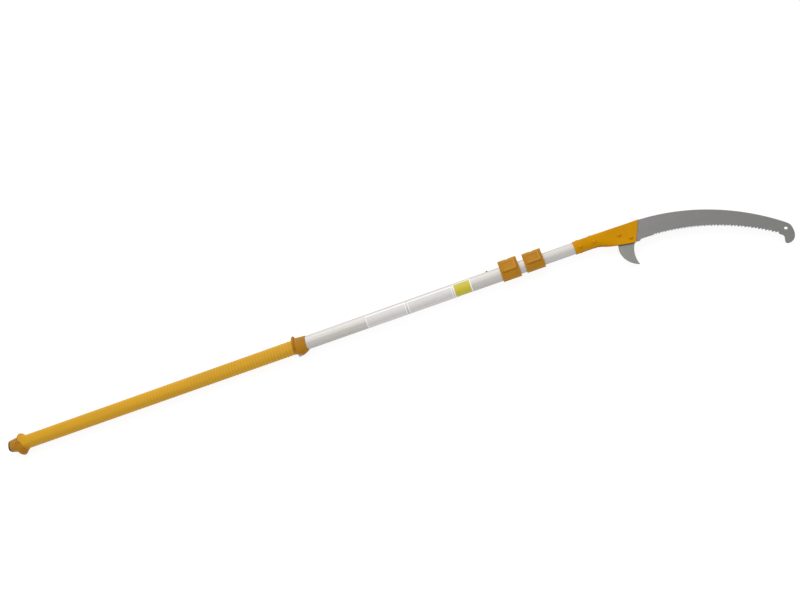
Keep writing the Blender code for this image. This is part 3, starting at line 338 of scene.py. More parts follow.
def held(value, low=0, high=1):
    """A value kept between two limits."""
    return min(max(value, low), high)


# ---- Materials ----


def linear(value):
    """One sRGB channel, 0 to 255, as the linear value that a shader takes."""
    share = value / 255
    return share / 12.92 if share <= 0.04045 else ((share + 0.055) / 1.055) ** 2.4


def colour_of(rgb, factor=1.0):
    return (*[min(linear(c) * factor, 1.0) for c in rgb], 1)


def paler(rgb, share):
    return colour_of([c + (255 - c) * share for c in rgb])


def add(tree, kind, inputs, out=0, **settings):
    """Adds a shader node, feeds its inputs with values or other nodes' sockets, and gives back one output."""
    made = tree.nodes.new("ShaderNode" + kind)
    for name, value in settings.items():
        setattr(made, name, value)
    for socket, value in inputs.items():
        if isinstance(value, bpy.types.NodeSocket):
            tree.links.new(value, made.inputs[socket])
        else:
            made.inputs[socket].default_value = value
    return made.outputs[out] if made.outputs else None


class Look:
    """A procedural material that is put together step by step."""

    def __init__(self, name, roughness, metallic=0.0, specular=0.5):
        self.material = bpy.data.materials.new("look_" + name)
        self.material.use_nodes = True
        self.tree = self.material.node_tree
        self.shader = self.tree.nodes["Principled BSDF"]
        self.roughness = roughness
        values = {"Roughness": roughness, "Metallic": metallic, "Specular IOR Level": specular}
        for socket, value in values.items():
            self.shader.inputs[socket].default_value = value
        self.place = add(self.tree, "TexCoord", {}, "Object")
        self.sharpness = add(self.tree, "NewGeometry", {}, "Pointiness")

    def noise(self, scale, detail=3.0, stretch=(1, 1, 1)):
        """Noise of so many features a metre, stretched by a factor for each axis."""
        place = add(self.tree, "Mapping", {"Vector": self.place, "Scale": [scale / s for s in stretch]})
        return add(self.tree, "TexNoise", {"Vector": place, "Scale": 1.0, "Detail": detail, "Roughness": 0.5})

    def ramp(self, value, low, high, start=0.0, end=1.0):
        """A value from low to high turned into start to end, and held there beyond."""
        limits = {"From Min": low, "From Max": high, "To Min": start, "To Max": end}
        return add(self.tree, "MapRange", {"Value": value, **limits})

    def mix(self, factor, first, second):
        """Two colours blended. A mix node's colours are its inputs 6 and 7 and its output 2."""
        return add(self.tree, "Mix", {0: factor, 6: first, 7: second}, 2, data_type="RGBA")

    def multiply(self, first, second):
        return add(self.tree, "Math", {0: first, 1: second}, operation="MULTIPLY")

    def clouded(self, rgb, scale, low, high, stretch=(1, 1, 1)):
        """A colour that drifts between two factors of itself."""
        clouds = self.ramp(self.noise(scale, 4, stretch), 0.3, 0.7)
        return self.mix(clouds, colour_of(rgb, low), colour_of(rgb, high))

    def edge_wear_and_sheen(self, low, high, patches):
        """Up to 1 on outer edges, where patches let it, and 0 on flats: a mask for edge wear and for painted
        edge highlights.
        """
        return self.multiply(self.ramp(self.sharpness, low, high), patches)

    def finish(self, colour, roughing, less, more, *layers):
        """Connects the colour, a roughness that varies, and bumps, each (value, strength, height in mm)."""
        varied = self.ramp(roughing, 0.3, 0.7, self.roughness - less, self.roughness + more)
        bumped = {}
        for value, strength, height in layers:
            bump = {"Strength": strength, "Distance": height * MM, "Height": value, **bumped}
            bumped = {"Normal": add(self.tree, "Bump", bump)}
        for socket, value in {"Base Color": colour, "Roughness": varied, **bumped}.items():
            self.tree.links.new(value, self.shader.inputs[socket])
        return self.material


def moulded(name, rgb, roughness, grain, wear=0.35):
    """Moulded plastic: cloudy colour, fine matt grain, edges paler in patches, partly rubbed wear and partly
    a painted highlight.
    """
    look = Look(name, roughness, specular=0.15)
    # Sharp edges go paler in patches: partly rubbed wear, partly a painted edge highlight.
    pale_edges = look.edge_wear_and_sheen(0.52, 0.62, look.ramp(look.noise(160), 0.35, 0.65, 0.2, wear))
    colour = look.mix(pale_edges, look.clouded(rgb, 28, 0.93, 1.05), paler(rgb, 0.35))
    fine, coarse = look.noise(grain, 2), look.noise(grain / 6, 2)
    return look.finish(colour, look.noise(70), 0.07, 0.07, (fine, 0.12, 0.2), (coarse, 0.08, 0.4))


def brushed(name, rgb, roughness, metallic, streaks=0.06, grain=2200.0, along="X"):
    """Drawn or ground metal: hair-fine streaks along an axis, faint clouds and a few scratches."""
    look = Look(name, roughness, metallic)
    stretch = {"X": (300, 1, 1), "Y": (1, 300, 1)}[along]
    hair = look.noise(grain, 2, stretch)
    bands = look.ramp(look.noise(grain / 9, 2, stretch), 0.3, 0.7)
    tone = look.mix(bands, colour_of(rgb, 1 - streaks), colour_of(rgb, 1 + streaks / 2))
    tone = look.mix(look.ramp(look.noise(9, 4), 0.35, 0.7, 0, 0.5), tone, colour_of(rgb, 1 - streaks))
    scratch = look.ramp(look.noise(420, 1, (14, 1, 1)), 0.74, 0.78, 0, 0.35)
    return look.finish(look.mix(scratch, tone, paler(rgb, 0.5)), hair, 0.08, 0.1, (hair, 0.06, 0.05))


def painted(name, rgb, roughness):
    """Powder coat: orange-peel skin, cloudy colour and edges chipped pale."""
    look = Look(name, roughness, specular=0.05)
    chipped = look.edge_wear_and_sheen(0.55, 0.68, look.ramp(look.noise(260, 4), 0.5, 0.6, 0, 0.6))
    colour = look.mix(chipped, look.clouded(rgb, 22, 0.94, 1.04), paler(rgb, 0.25))
    return look.finish(colour, look.noise(120), 0.05, 0.08, (look.noise(520, 2), 0.1, 0.25))


def rubber(name, rgb, roughness):
    """Rubber, dusty in patches."""
    look = Look(name, roughness, specular=0.3)
    dust = look.ramp(look.noise(90, 5), 0.45, 0.75, 0, 0.45)
    colour = look.mix(dust, colour_of(rgb), colour_of([c + 45 for c in rgb]))
    return look.finish(colour, look.noise(60), 0.08, 0.08, (look.noise(1500), 0.2, 0.15))


def vinyl(name, rgb, roughness):
    """The soft sleeve: colour that varies along it, with a painted highlight on its ribs and painted shade in
    its grooves.
    """
    look = Look(name, roughness, specular=0.15)
    # Painted shade: the grooves take a darker copy of the sleeve's colour.
    groove_shade = look.ramp(look.sharpness, 0.44, 0.5, 0.5, 0)
    body = look.mix(groove_shade, look.clouded(rgb, 14, 0.92, 1.05, (3, 1, 1)), colour_of(rgb, 0.62))
    # Painted highlight: the rib crests take an even pale yellow.
    colour = look.mix(look.edge_wear_and_sheen(0.505, 0.53, 0.35), body, colour_of((240, 200, 110)))
    return look.finish(colour, look.noise(60), 0.06, 0.1, (look.noise(1300), 0.12, 0.2))


def film(name, rgb, roughness=0.4):
    """Printed sticker film: near even, with a faint mottle and a soft gloss."""
    look = Look(name, roughness)
    colour = look.clouded(rgb, 50, 0.97, 1.02)
    return look.finish(colour, look.noise(40, 2), 0.05, 0.08, (look.noise(700, 2), 0.03, 0.1))


LOOKS = {name: make(name, *values) for make, name, *values in [
    (rubber, "black_rubber", (46, 44, 38), 0.7),
    (moulded, "orange_plastic", (182, 124, 18), 0.42, 1400),
    (vinyl, "yellow_vinyl", (219, 163, 30), 0.5),
    (moulded, "lock_plastic", (192, 131, 20), 0.36, 1600),
    # A paler copy of the lock plastic: a painted highlight on the levers' lower and right rims.
    (moulded, "rubbed_plastic", (212, 156, 58), 0.34, 1600),
    (brushed, "aluminium", (196, 192, 187), 0.5, 0.5),
    (brushed, "steel", (165, 164, 162), 0.32, 0.9, 0.08, 1500),
    (brushed, "dark_steel", (84, 82, 80), 0.4, 0.8, 0.1, 1500),
    (brushed, "rivet_brass", (176, 132, 58), 0.5, 0.5),
    (moulded, "white_plastic", (226, 225, 220), 0.4, 1500, 0.1),
    (painted, "bracket_paint", (214, 148, 0), 0.45),
    (brushed, "blade_steel", (124, 123, 122), 0.45, 0.6, 0.05, 1800),
    (brushed, "sickle_steel", (130, 129, 124), 0.45, 0.6, 0.06, 1800, "Y"),
    (film, "sticker_film", (224, 220, 217)),
    (film, "sticker_white", (252, 252, 252)),
    (film, "sticker_yellow", (209, 195, 46)),
]}


# ---- Making pieces ----


def add_object(name, data):
    obj = bpy.data.objects.new(name, data)
    bpy.context.scene.collection.objects.link(obj)
    return obj


def draft(name, work, closed=True):
    """A bmesh as an object that further steps can change. A closed one gets its faces turned outwards."""
    mesh = bpy.data.meshes.new(name)
    if closed:
        bmesh.ops.recalc_face_normals(work, faces=work.faces)
    work.to_mesh(mesh)
    work.free()
    return add_object(name, mesh)


def settle(obj):
    """Applies an object's modifiers."""
    graph = bpy.context.evaluated_depsgraph_get()
    mesh = bpy.data.meshes.new_from_object(obj.evaluated_get(graph))
    obj.modifiers.clear()
    obj.data = mesh
    return obj


def carve(obj, *others, operation="DIFFERENCE"):
    """Takes other drafts out of one, or joins them to it. The others are used up."""
    for other in others:
        step = obj.modifiers.new(other.name, "BOOLEAN")
        step.operation = operation
        step.solver = "EXACT"
        step.object = other
    settle(obj)
    for other in others:
        bpy.data.objects.remove(other)
    return obj


def drill(obj, *holes):
    """Takes bars out of a draft, each given as rod's values after its name."""
    return carve(obj, *[rod("cut", *hole) for hole in holes])


def piece(obj, body, slot, node=None, angle=35, look=None):
    """A draft in the pole's places as a finished piece: it rides on a body and stands for a CAD node."""
    mesh = obj.data
    mesh.transform(Matrix.Translation(AXIS))
    if not mesh.materials:
        mesh.materials.append(LOOKS[look or slot])
    mesh.shade_smooth()
    mesh.set_sharp_from_angle(angle=radians(angle))
    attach(obj, body)
    if node:
        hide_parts(node)


def rounded(points, rounds):
    """Rounds off a line's corners and keeps its two ends."""
    for _ in range(rounds):
        fresh = [points[0]]
        for a, b in zip(points, points[1:]):
            fresh.append(tuple(0.75 * p + 0.25 * q for p, q in zip(a, b)))
            fresh.append(tuple(0.25 * p + 0.75 * q for p, q in zip(a, b)))
        points = [*fresh, points[-1]]
    return points


def quarter(steps):
    """Sine and cosine of the turns from 0 to 90 degrees."""
    turns = [radians(90 * i / steps) for i in range(steps + 1)]
    return [(sin(turn), cos(turn)) for turn in turns]


def squarish(value):
    """A sine or cosine bent to the tubes' oval."""
    return copysign(abs(value) ** (2 / OVAL_POWER), value)


def oval(sizes, out=0):
    """An oval outline of (y, z) points, moved out by out. A third size is the height of its lower half."""
    half_y, half_z, lower = [size + out for size in (*sizes, sizes[0])[:3]]
    points = []
    for i in range(OVAL_SIDES):
        turn = 2 * pi * i / OVAL_SIDES
        y, z = squarish(cos(turn)), squarish(sin(turn))
        points.append(((half_y if y > 0 else lower) * y, half_z * z))
    return points


def ring(x, sizes, out=0):
    return [(x, y, z) for y, z in oval(sizes, out)]


def loft(rings, cyclic=False):
    """A closed bmesh through rings of as many points each, or of one point where it closes to a tip.

    A cyclic one joins the last ring to the first.
    """
    work = bmesh.new()
    count = max(len(points) for points in rings)
    rows = []
    for points in rings:
        row = [work.verts.new(point) for point in points]
        rows.append(row if len(row) > 1 else row * count)
    for near, far in zip(rows, rows[1:] + (rows[:1] if cyclic else [])):
        for i in range(count):
            j = (i + 1) % count
            corners = [near[i], near[j], far[j], far[i]]
            work.faces.new([vert for k, vert in enumerate(corners) if vert not in corners[:k]])
    for row in (rows[0], rows[-1]):
        if not cyclic and row[0] is not row[1]:
            work.faces.new(row)
    return work


def prism(name, outline, start, end, edge=0.0):
    """An outline of (y, z) points extruded along X, its end faces' edges broken by edge."""
    work = loft([[(x, y, z) for y, z in outline] for x in (start, end)])
    if edge:
        caps = [face for face in work.faces if len(face.verts) == len(outline)]
        lines = list({line for face in caps for line in face.edges})
        bmesh.ops.bevel(
            work, geom=lines, offset=edge, segments=3, profile=0.5, affect="EDGES", clamp_overlap=True
        )
    return draft(name, work)


def rod(name, radius, start, end, centre, axis, sides=32, edge=0.0):
    """A round or hexagonal bar along an axis, through centre, the two other coordinates in X, Y, Z order."""
    stations = [(start, radius - edge), (start + edge, radius), (end - edge, radius), (end, radius - edge)]
    rings = []
    for along, reach in stations if edge else [(start, radius), (end, radius)]:
        points = []
        for i in range(sides):
            turn = 2 * pi * (i + 0.5) / sides
            a, b = centre[0] + reach * cos(turn), centre[1] + reach * sin(turn)
            points.append({"X": (along, a, b), "Y": (a, along, b), "Z": (a, b, along)}[axis])
        rings.append(points)
    return draft(name, loft(rings))


def block(name, low, high):
    (x0, y0, z0), (x1, y1, z1) = low, high
    rings = [[(x, y0, z0), (x, y1, z0), (x, y1, z1), (x, y0, z1)] for x in (x0, x1)]
    return draft(name, loft(rings))


def turned(name, profile, place, axis="Z", flip=False, steps=40):
    """A profile of (radius, height) points, top to bottom down its outer side, turned round an axis."""
    turns = [2 * pi * i / steps for i in range(steps)]
    rings = []
    for radius, height in profile:
        points = [(radius * cos(t), radius * sin(t), height) for t in turns]
        rings.append(points if radius else [(0, 0, height)])
    work = loft(rings, cyclic=profile[0][0] > 0 and profile[-1][0] > 0)
    turn = Matrix(((0, 1, 0), (0, 0, 1), (1, 0, 0))).to_4x4() if axis == "Y" else Matrix.Identity(4)
    if flip:
        turn = turn @ Matrix.Rotation(pi, 4, "X")
    work.transform(Matrix.Translation(place) @ turn)
    return draft(name, work)


def dome_screw(name, radius, height, shank, place, axis="Y", flip=False):
    """A screw or rivet with a domed head of some height over its place and a shank below."""
    profile = [(DOME_OVER_SHANK * radius * sine, height * cosine) for sine, cosine in quarter(8)]
    profile += [(radius, 0), (radius, -shank), (0, -shank)]
    return turned(name, profile, place, axis, flip)


# ---- Tubes, butt, sleeve and hand stop ----


def tube(name, start, end, half, wall):
    """An oval tube with broken end edges."""
    edge = TUBE_EDGE
    stations = [
        (start + edge, 0), (end - edge, 0), (end, edge), (end, wall - edge),
        (end - edge, wall), (start + edge, wall), (start, wall - edge), (start, edge),
    ]
    return draft(name, loft([ring(x, half, -inset) for x, inset in stations], cyclic=True))


def along_guard(share):
    return GUARD_START + (GUARD_END - GUARD_START) * share


def rest_on_floor(points):
    """Flattens what would hang below the floor."""
    return [(x, y, max(z, -FLOOR_BELOW)) for x, y, z in points]


def slanted(points):
    """Moves the underside of the butt's end along the pole, less and less towards the guard's middle."""
    fade = along_guard(SLANT_FADES_AT)
    moved = []
    for x, y, z in points:
        near = held((fade - x) / (fade - GUARD_START))
        low = held((BASE.y - y) / (2 * BASE.y))
        moved.append((x + BUTT_SLANT * near * low, y, z))
    return moved


def toed(points):
    """Stretches the underside of the guard's front over the sleeve, which starts later there."""
    moved = []
    for x, y, z in points:
        rising = (x - TOE_FROM) / (GUARD_END - TOE_FROM)
        falling = 1 - (x - GUARD_END) / TOE_FADES_OVER
        low = held((TOE_TOP - y) / (TOE_TOP - TOE_LOW))
        moved.append((x + TOE_LENGTH * held(min(rising, falling)) * low, y, z))
    return moved


def over_base(up, down, depth):
    """The sizes of an oval that stands out so many mm from the base tube above, below and to the sides."""
    return BASE.y + up * MM, BASE.z + depth * MM, BASE.y + down * MM


def outer_rings(start, end, shape):
    """Rings over the base tube from a table of cross-sections, with its corners rounded off."""
    rings = []
    for share, *stands_out in rounded(shape, 3):
        rings.append(rest_on_floor(ring(start + (end - start) * share, over_base(*stands_out))))
    return rings


def standing_out(start, end, shape, x):
    """How far a piece of such a table stands out from the base tube at x: (upper, lower, depth)."""
    share = (x - start) / (end - start)
    for near, far in zip(shape, shape[1:]):
        if share <= far[0]:
            break
    part = (share - near[0]) / (far[0] - near[0])
    return [(a + (b - a) * part) * MM for a, b in zip(near[1:], far[1:])]


def make_butt():
    sizes = over_base(*GUARD[2][0][1:])
    stations = [(CUSHION_LENGTH, 0)]
    for sine, cosine in quarter(8):
        stations.append((CUSHION_LENGTH * (1 - sine * CUSHION_REACH), CUSHION_ROUNDING * (1 - cosine)))
    stations += [(depth * MM, inset * MM) for depth, inset in CUSHION_GROOVE]
    cushion = draft("rubber_butt", loft([slanted(ring(x, sizes, -inset)) for x, inset in stations]))
    piece(cushion, "base", "black_rubber", "butt_cushion")

    rings = [slanted(points) for points in outer_rings(*GUARD)]
    rings += [ring(x, BASE, GAP) for x in (GUARD_END, BASE_START - GAP)]
    guard = draft("butt_guard", loft([toed(points) for points in rings]))
    head_z = BASE.z + standing_out(*GUARD, RIVET_X + DOME_OVER_SHANK * RIVET_RADIUS)[2] + GAP
    drill(guard, (RIVET_RADIUS + GAP, BASE.z, 2 * head_z, (RIVET_X, 0), "Z"))
    piece(guard, "base", "orange_plastic", "end_guard")
    shank = head_z - BASE.z + TUBE_WALL
    rivet = dome_screw("guard_rivet_dome", RIVET_RADIUS, RIVET_RADIUS, shank, (RIVET_X, 0, head_z), "Z")
    piece(rivet, "base", "steel", "guard_rivet", look="rivet_brass")


def flare_ring(part, out):
    """A ring of the sleeve's flared end, on the guard's front: part is 0 at its lip and 1 at its root."""
    points = []
    for y, z in oval(BASE):
        on_rim = FLARE_ON_RIM + FLARE_BACK_RIM * held(-2 * z / BASE.z)
        lip = held(FLARE_AT_SIDE - (y + FLARE_SIDE_BELOW) * FLARE_SLANT, on_rim, FLARE_ENDS_AT)
        x = along_guard(lip + (1 - lip) * part)
        up, down, depth = standing_out(*GUARD, x)
        wide = 1 + ((up if y > 0 else down) + out) / BASE.y
        points.append((x, y * wide, z * (1 + (depth + out) / BASE.z)))
    return rest_on_floor(points)


def make_sleeve():
    crest = GAP + SLEEVE_WALL
    ribs = int((SLEEVE_END - SLEEVE_START - SLEEVE_PLAIN_END) / RIB_PITCH)
    first = SLEEVE_END - ribs * RIB_PITCH
    shallow, deep = RIB_DEPTHS
    stations = [(SLEEVE_START + 3 * crest, crest), (first - RIB_PITCH / 2, crest)]
    for i in range(ribs * RIB_POINTS + 1):
        share = i / RIB_POINTS
        groove = (0.5 + 0.5 * cos(2 * pi * share)) ** 2
        depth = shallow + (deep - shallow) * share / ribs
        stations.append((first + share * RIB_PITCH, crest - depth * groove))
    stations += [(SLEEVE_END, GAP), (SLEEVE_START, GAP)]
    parts = [i / FLARE_STEPS for i in range(FLARE_STEPS + 1)]
    rings = [flare_ring(part, FLARE_INSIDE + FLARE_WALL) for part in parts]
    rings += [ring(x, BASE, out) for x, out in stations]
    rings += [flare_ring(part, FLARE_INSIDE) for part in parts[::-1]]
    sleeve = draft("ribbed_sleeve", loft([toed(points) for points in rings], cyclic=True))
    piece(sleeve, "base", "yellow_vinyl", "grip_sleeve", 60)


def make_hand_stop():
    rings = outer_rings(*STOP) + [ring(x, BASE, GAP) for x in (STOP_END, STOP_START)]
    stop = draft("stop_collar", loft(rings, cyclic=True))
    head_radius = DOME_OVER_SHANK * STOP_SCREW_RADIUS
    around = [STOP_SCREW_X - head_radius, STOP_SCREW_X, STOP_SCREW_X + head_radius]
    head_y = -BASE.y - max(standing_out(*STOP, x)[1] for x in around) - GAP
    drill(stop, (STOP_SCREW_RADIUS + GAP, 2 * head_y, -BASE.y, (STOP_SCREW_X, 0), "Y"))
    piece(stop, "base", "orange_plastic", "hand_stop")
    sizes = (STOP_SCREW_RADIUS, STOP_SCREW_HEAD, -BASE.y - GAP - head_y)
    screw = dome_screw("stop_screw_dome", *sizes, (STOP_SCREW_X, head_y, 0), flip=True)
    drill(screw, (head_radius / 2, 2 * head_y, head_y - STOP_SCREW_HEAD / 3, (STOP_SCREW_X, 0), "Y", 6))
    piece(screw, "base", "dark_steel", "stop_screw", look="steel")


def make_tubes():
    deep = 2 * BASE.y
    pin_hole = SNAP_PIN_RADIUS + GAP
    screw_hole = COLLAR_SCREW_RADIUS + GAP
    button_hole = BUTTON_RADIUS + BUTTON_FLANGE + EYELET_WALL
    for node, body, start, half, holes in (
        ("base_tube", "base", BASE_START, BASE, [
            (RIVET_RADIUS + GAP, 0, deep, (RIVET_X, 0), "Z"),
            (button_hole, 0, deep, (BUTTON_AT, 0), "Y"),
            (screw_hole, -deep, 0, (LOCK_1 + COLLAR_SCREW_AT, 0), "Y"),
        ]),
        ("middle_tube", "middle", span("middle_tube")[0], MIDDLE, [
            (pin_hole, 0, deep, (BUTTON_AT - STROKE, 0), "Y"),
            (pin_hole, 0, deep, (MIDDLE_HOLE, 0), "Y"),
            (screw_hole, -deep, 0, (LOCK_2 + COLLAR_SCREW_AT, 0), "Y"),
        ]),
        ("inner_tube", "head", span("inner_tube")[0], INNER, [
            (pin_hole, 0, deep, (MIDDLE_HOLE - STROKE, 0), "Y"),
            *[(BOLT_RADIUS + GAP, -deep, deep, at, "Z") for at in SOCKET_BOLTS],
            *[(SOCKET_SCREW_RADIUS + GAP, 0, deep, (x, 0), "Y") for x in SOCKET_SCREWS],
        ]),
    ):
        skin = tube(f"{node}_skin", start, span(node)[1], half, TUBE_WALL)
        piece(drill(skin, *holes), body, "aluminium", node)


def make_release_button():
    bore = BUTTON_RADIUS + GAP
    room = BUTTON_RADIUS + BUTTON_FLANGE
    outside = room + EYELET_WALL
    bottom, top = [corner.y - AXIS.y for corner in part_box("button_eyelet")]
    ceiling = top - EYELET_LIP
    floor = bottom + EYELET_LIP
    brim = BASE.y + GAP
    rounding = EYELET_LIP / 2
    profile = [
        (bore, top - rounding / 2), (bore + rounding / 2, top), (outside - rounding, top),
        (outside, top - rounding / 2), (outside + EYELET_BRIM, brim), (outside - GAP, brim),
        (outside - GAP, bottom), (bore, bottom), (bore, floor), (room, floor), (room, ceiling),
        (bore, ceiling),
    ]
    piece(turned("button_ring", profile, (BUTTON_AT, 0, 0), "Y"), "base", "dark_steel", "button_eyelet")
    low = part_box("release_button")[0].y - AXIS.y
    high = BASE.y + BUTTON_PROUD
    profile = [(BUTTON_RADIUS * sine, high - BUTTON_RADIUS / 4 * (1 - cosine)) for sine, cosine in quarter(6)]
    profile += [(BUTTON_RADIUS, ceiling - GAP), (room - GAP, ceiling - GAP), (room - GAP, low), (0, low)]
    button = turned("push_button", profile, (BUTTON_AT, 0, 0), "Y")
    piece(button, "release_button", "dark_steel", "release_button")


# ---- Locks ----


def filleted(outline, radius, steps=4):
    """A closed outline whose corners are rounded, each by no more than a share of its shorter edge."""
    points = []
    for i, place in enumerate(outline):
        corner = Vector(place)
        before = Vector(outline[i - 1]) - corner
        after = Vector(outline[(i + 1) % len(outline)]) - corner
        reach = min(radius, FILLET_ROOM * before.length, FILLET_ROOM * after.length)
        start = corner + before.normalized() * reach
        end = corner + after.normalized() * reach
        for k in range(steps + 1):
            t = k / steps
            points.append(tuple(start * (1 - t) ** 2 + corner * 2 * t * (1 - t) + end * t**2))
    return points


def hull(points):
    """The convex solid around points, with its flat sides whole."""
    work = bmesh.new()
    for point in points:
        work.verts.new(point)
    bmesh.ops.convex_hull(work, input=work.verts)
    bmesh.ops.dissolve_limit(work, angle_limit=radians(1), verts=work.verts, edges=work.edges)
    bmesh.ops.recalc_face_normals(work, faces=work.faces)
    return work


def hexagon(name, radius, seat, end, at):
    """A hexagonal head or nut along Z, from its seat to its end, whose end corners are turned off."""
    bar = rod(name, radius, min(seat, end), max(seat, end), at, "Z", 6)
    outward = 1 if end > seat else -1
    taper = radius * HEX_TAPER
    wide = radius * HEX_CLEAR
    rim = end - outward * taper * HEX_SLOPE
    profile = [(0, end), (radius - taper, end), (wide, rim), (wide, seat), (0, seat)]
    return carve(bar, turned("chamfer", profile[::outward], (*at, 0), steps=48), operation="INTERSECT")


def make_collar(number, body, start, half, pivot, ear_face):
    end = start + LOCK_LENGTH
    middle = start + LOCK_LENGTH / 2
    screw_x = start + COLLAR_SCREW_AT
    front = half.z + GAP + COLLAR_FRONT
    under = half.y + COLLAR_WALL
    shoulder = half.y - COLLAR_SHOULDER
    notch = pivot[0] - DRAW_NUT_RADIUS - GAP
    ear_top = pivot[0] + EAR_OVER_BOLT
    outline = [
        (-LEVER_BELOW_AXIS - COLLAR_FRONT, front), (-under, front - COLLAR_CHAMFER),
        (-under, -half.z + COLLAR_CHAMFER), (-shoulder, -FLOOR_BELOW), (shoulder, -FLOOR_BELOW),
        (notch, -half.z), (notch, -ear_face), (ear_top, -ear_face), (ear_top, ear_face), (notch, ear_face),
        (half.y - COLLAR_FRONT, front),
    ]
    collar = prism(f"collar_{number}", filleted(outline, COLLAR_FILLET), start, end, COLLAR_EDGE)
    head_radius = DOME_OVER_SHANK * COLLAR_SCREW_RADIUS
    head_y = -under + SCREW_SEAT
    bolt_hole = DRAW_BOLT_RADIUS + GAP
    carve(
        collar,
        prism("cut_1", oval(half, GAP), start - PAST, end + PAST),
        block("cut_2", (start - PAST, 0, -SLIT / 2), (end + PAST, 2 * ear_top, SLIT / 2)),
        rod("cut_3", CAM_RADIUS + 2 * GAP, start - PAST, end + PAST, pivot, "X", 48),
        rod("cut_4", bolt_hole, -2 * FLOOR_BELOW, 2 * FLOOR_BELOW, (middle, pivot[0]), "Z"),
        rod("cut_5", COLLAR_SCREW_RADIUS + GAP, -2 * under, 0, (screw_x, 0), "Y"),
        rod("cut_6", head_radius + 2 * GAP, -2 * under, head_y, (screw_x, 0), "Y", 48),
    )
    for side in (-1, 1):
        face = middle + side * LOCK_LENGTH / 2
        facet = [
            Vector((face, -under, front - COLLAR_CHAMFER)),
            Vector((face, -LEVER_BELOW_AXIS, front)),
            Vector((face - side * COLLAR_CORNER, -LEVER_BELOW_AXIS - COLLAR_FRONT, front)),
        ]
        centre = sum(facet, Vector()) / 3
        beyond = centre + Vector((side, -1, 1)) * COLLAR_CORNER * 3
        wide = [centre + (corner - centre) * 2 for corner in facet]
        carve(collar, draft("cut", hull([*wide, beyond])))
    piece(collar, body, "lock_plastic", f"clamp_collar_{number}", 30)

    sizes = (COLLAR_SCREW_RADIUS, SCREW_SEAT - GAP, -head_y - half.y + TUBE_WALL)
    screw = dome_screw(f"clamp_screw_{number}", *sizes, (screw_x, head_y - GAP, 0), flip=True)
    half_slot = COLLAR_SCREW_RADIUS / 4
    slot_low = (screw_x - 2 * head_radius, -2 * under, -half_slot)
    slot_high = (screw_x + 2 * head_radius, head_y - GAP - SCREW_SEAT / 2, half_slot)
    carve(screw, block("cut", slot_low, slot_high))
    piece(screw, body, "steel", f"collar_screw_{number}", look="rivet_brass")


def make_lever(number, middle, pivot):
    """The cam lever: a plate sloping up to a rimmed finger pad, whose lower and right rims carry a painted
    highlight, and the cam's barrel behind it.
    """
    pivot_y, pivot_z = pivot
    half = LOCK_LENGTH / 2
    low, high = -LEVER_BELOW_AXIS, pivot_y + LEVER_OVER_PIVOT
    back = pivot_z + PIVOT_BEHIND_LEVER
    front = back + LEVER_THICKNESS
    inner = half - LEVER_SIDE_BEVEL
    foot = [(half, high), (half, low + LEVER_CORNER[1]), (half - LEVER_CORNER[0], low)]
    pad = [(inner, high - LEVER_TOP_BEVEL), (inner, low + LEVER_LOW_BEVEL)]
    corners = [(x, y, back) for x, y in foot] + [(x, y, front) for x, y in pad]
    work = hull([(middle + side * x, y, z) for x, y, z in corners for side in (-1, 1)])
    face = max(work.faces, key=lambda f: f.calc_center_median().z)
    bmesh.ops.inset_region(work, faces=[face], thickness=PAD_RIM, use_even_offset=True)
    lines = [line for line in work.edges if line.calc_face_angle(0) > radians(20)]
    bmesh.ops.bevel(work, geom=lines, offset=LEVER_EDGE, segments=4, profile=0.5, affect="EDGES")
    bmesh.ops.recalc_face_normals(work, faces=work.faces)
    face = max(work.faces, key=lambda f: (round(f.calc_center_median().z, 6), f.calc_area()))
    bmesh.ops.inset_region(work, faces=[face], thickness=PAD_DEPTH, depth=-PAD_DEPTH, use_even_offset=True)
    # Painted highlight: the pad's lower and right rims, within this band, take a paler copy of the lock
    # plastic.
    pale_edges = PAD_RIM + 1.5 * PAD_DEPTH
    for face in work.faces:
        x, y, z = face.calc_center_median()
        low_or_right = y < low + LEVER_LOW_BEVEL + pale_edges or x > middle + inner - pale_edges
        face.material_index = 1 if z > front - 0.7 * PAD_DEPTH and low_or_right else 0
    lever = draft(f"lever_{number}", work)
    for look in ("lock_plastic", "rubbed_plastic"):
        lever.data.materials.append(LOOKS[look])
    barrel_at = (pivot_y, pivot_z - CAM_THROW)
    barrel = rod("join", CAM_RADIUS - CAM_THROW, middle - half, middle + half, barrel_at, "X", 64)
    carve(lever, barrel, operation="UNION")
    slot = BOLT_EYE_WIDTH / 2 + GAP
    eye_room = BOLT_EYE_RADIUS + 2 * GAP
    pin_hole = LEVER_PIN_LENGTH / 2 + GAP
    slot_low = (middle - slot, pivot_y - eye_room, pivot_z - 2 * CAM_RADIUS)
    slot_high = (middle + slot, pivot_y + 2 * CAM_RADIUS, pivot_z + eye_room)
    carve(
        lever,
        block("cut_1", slot_low, slot_high),
        rod("cut_2", LEVER_PIN_RADIUS + GAP, middle - pin_hole, middle + pin_hole, pivot, "X"),
    )
    piece(lever, f"lever_{number}", "lock_plastic", f"lock_lever_{number}", 28)


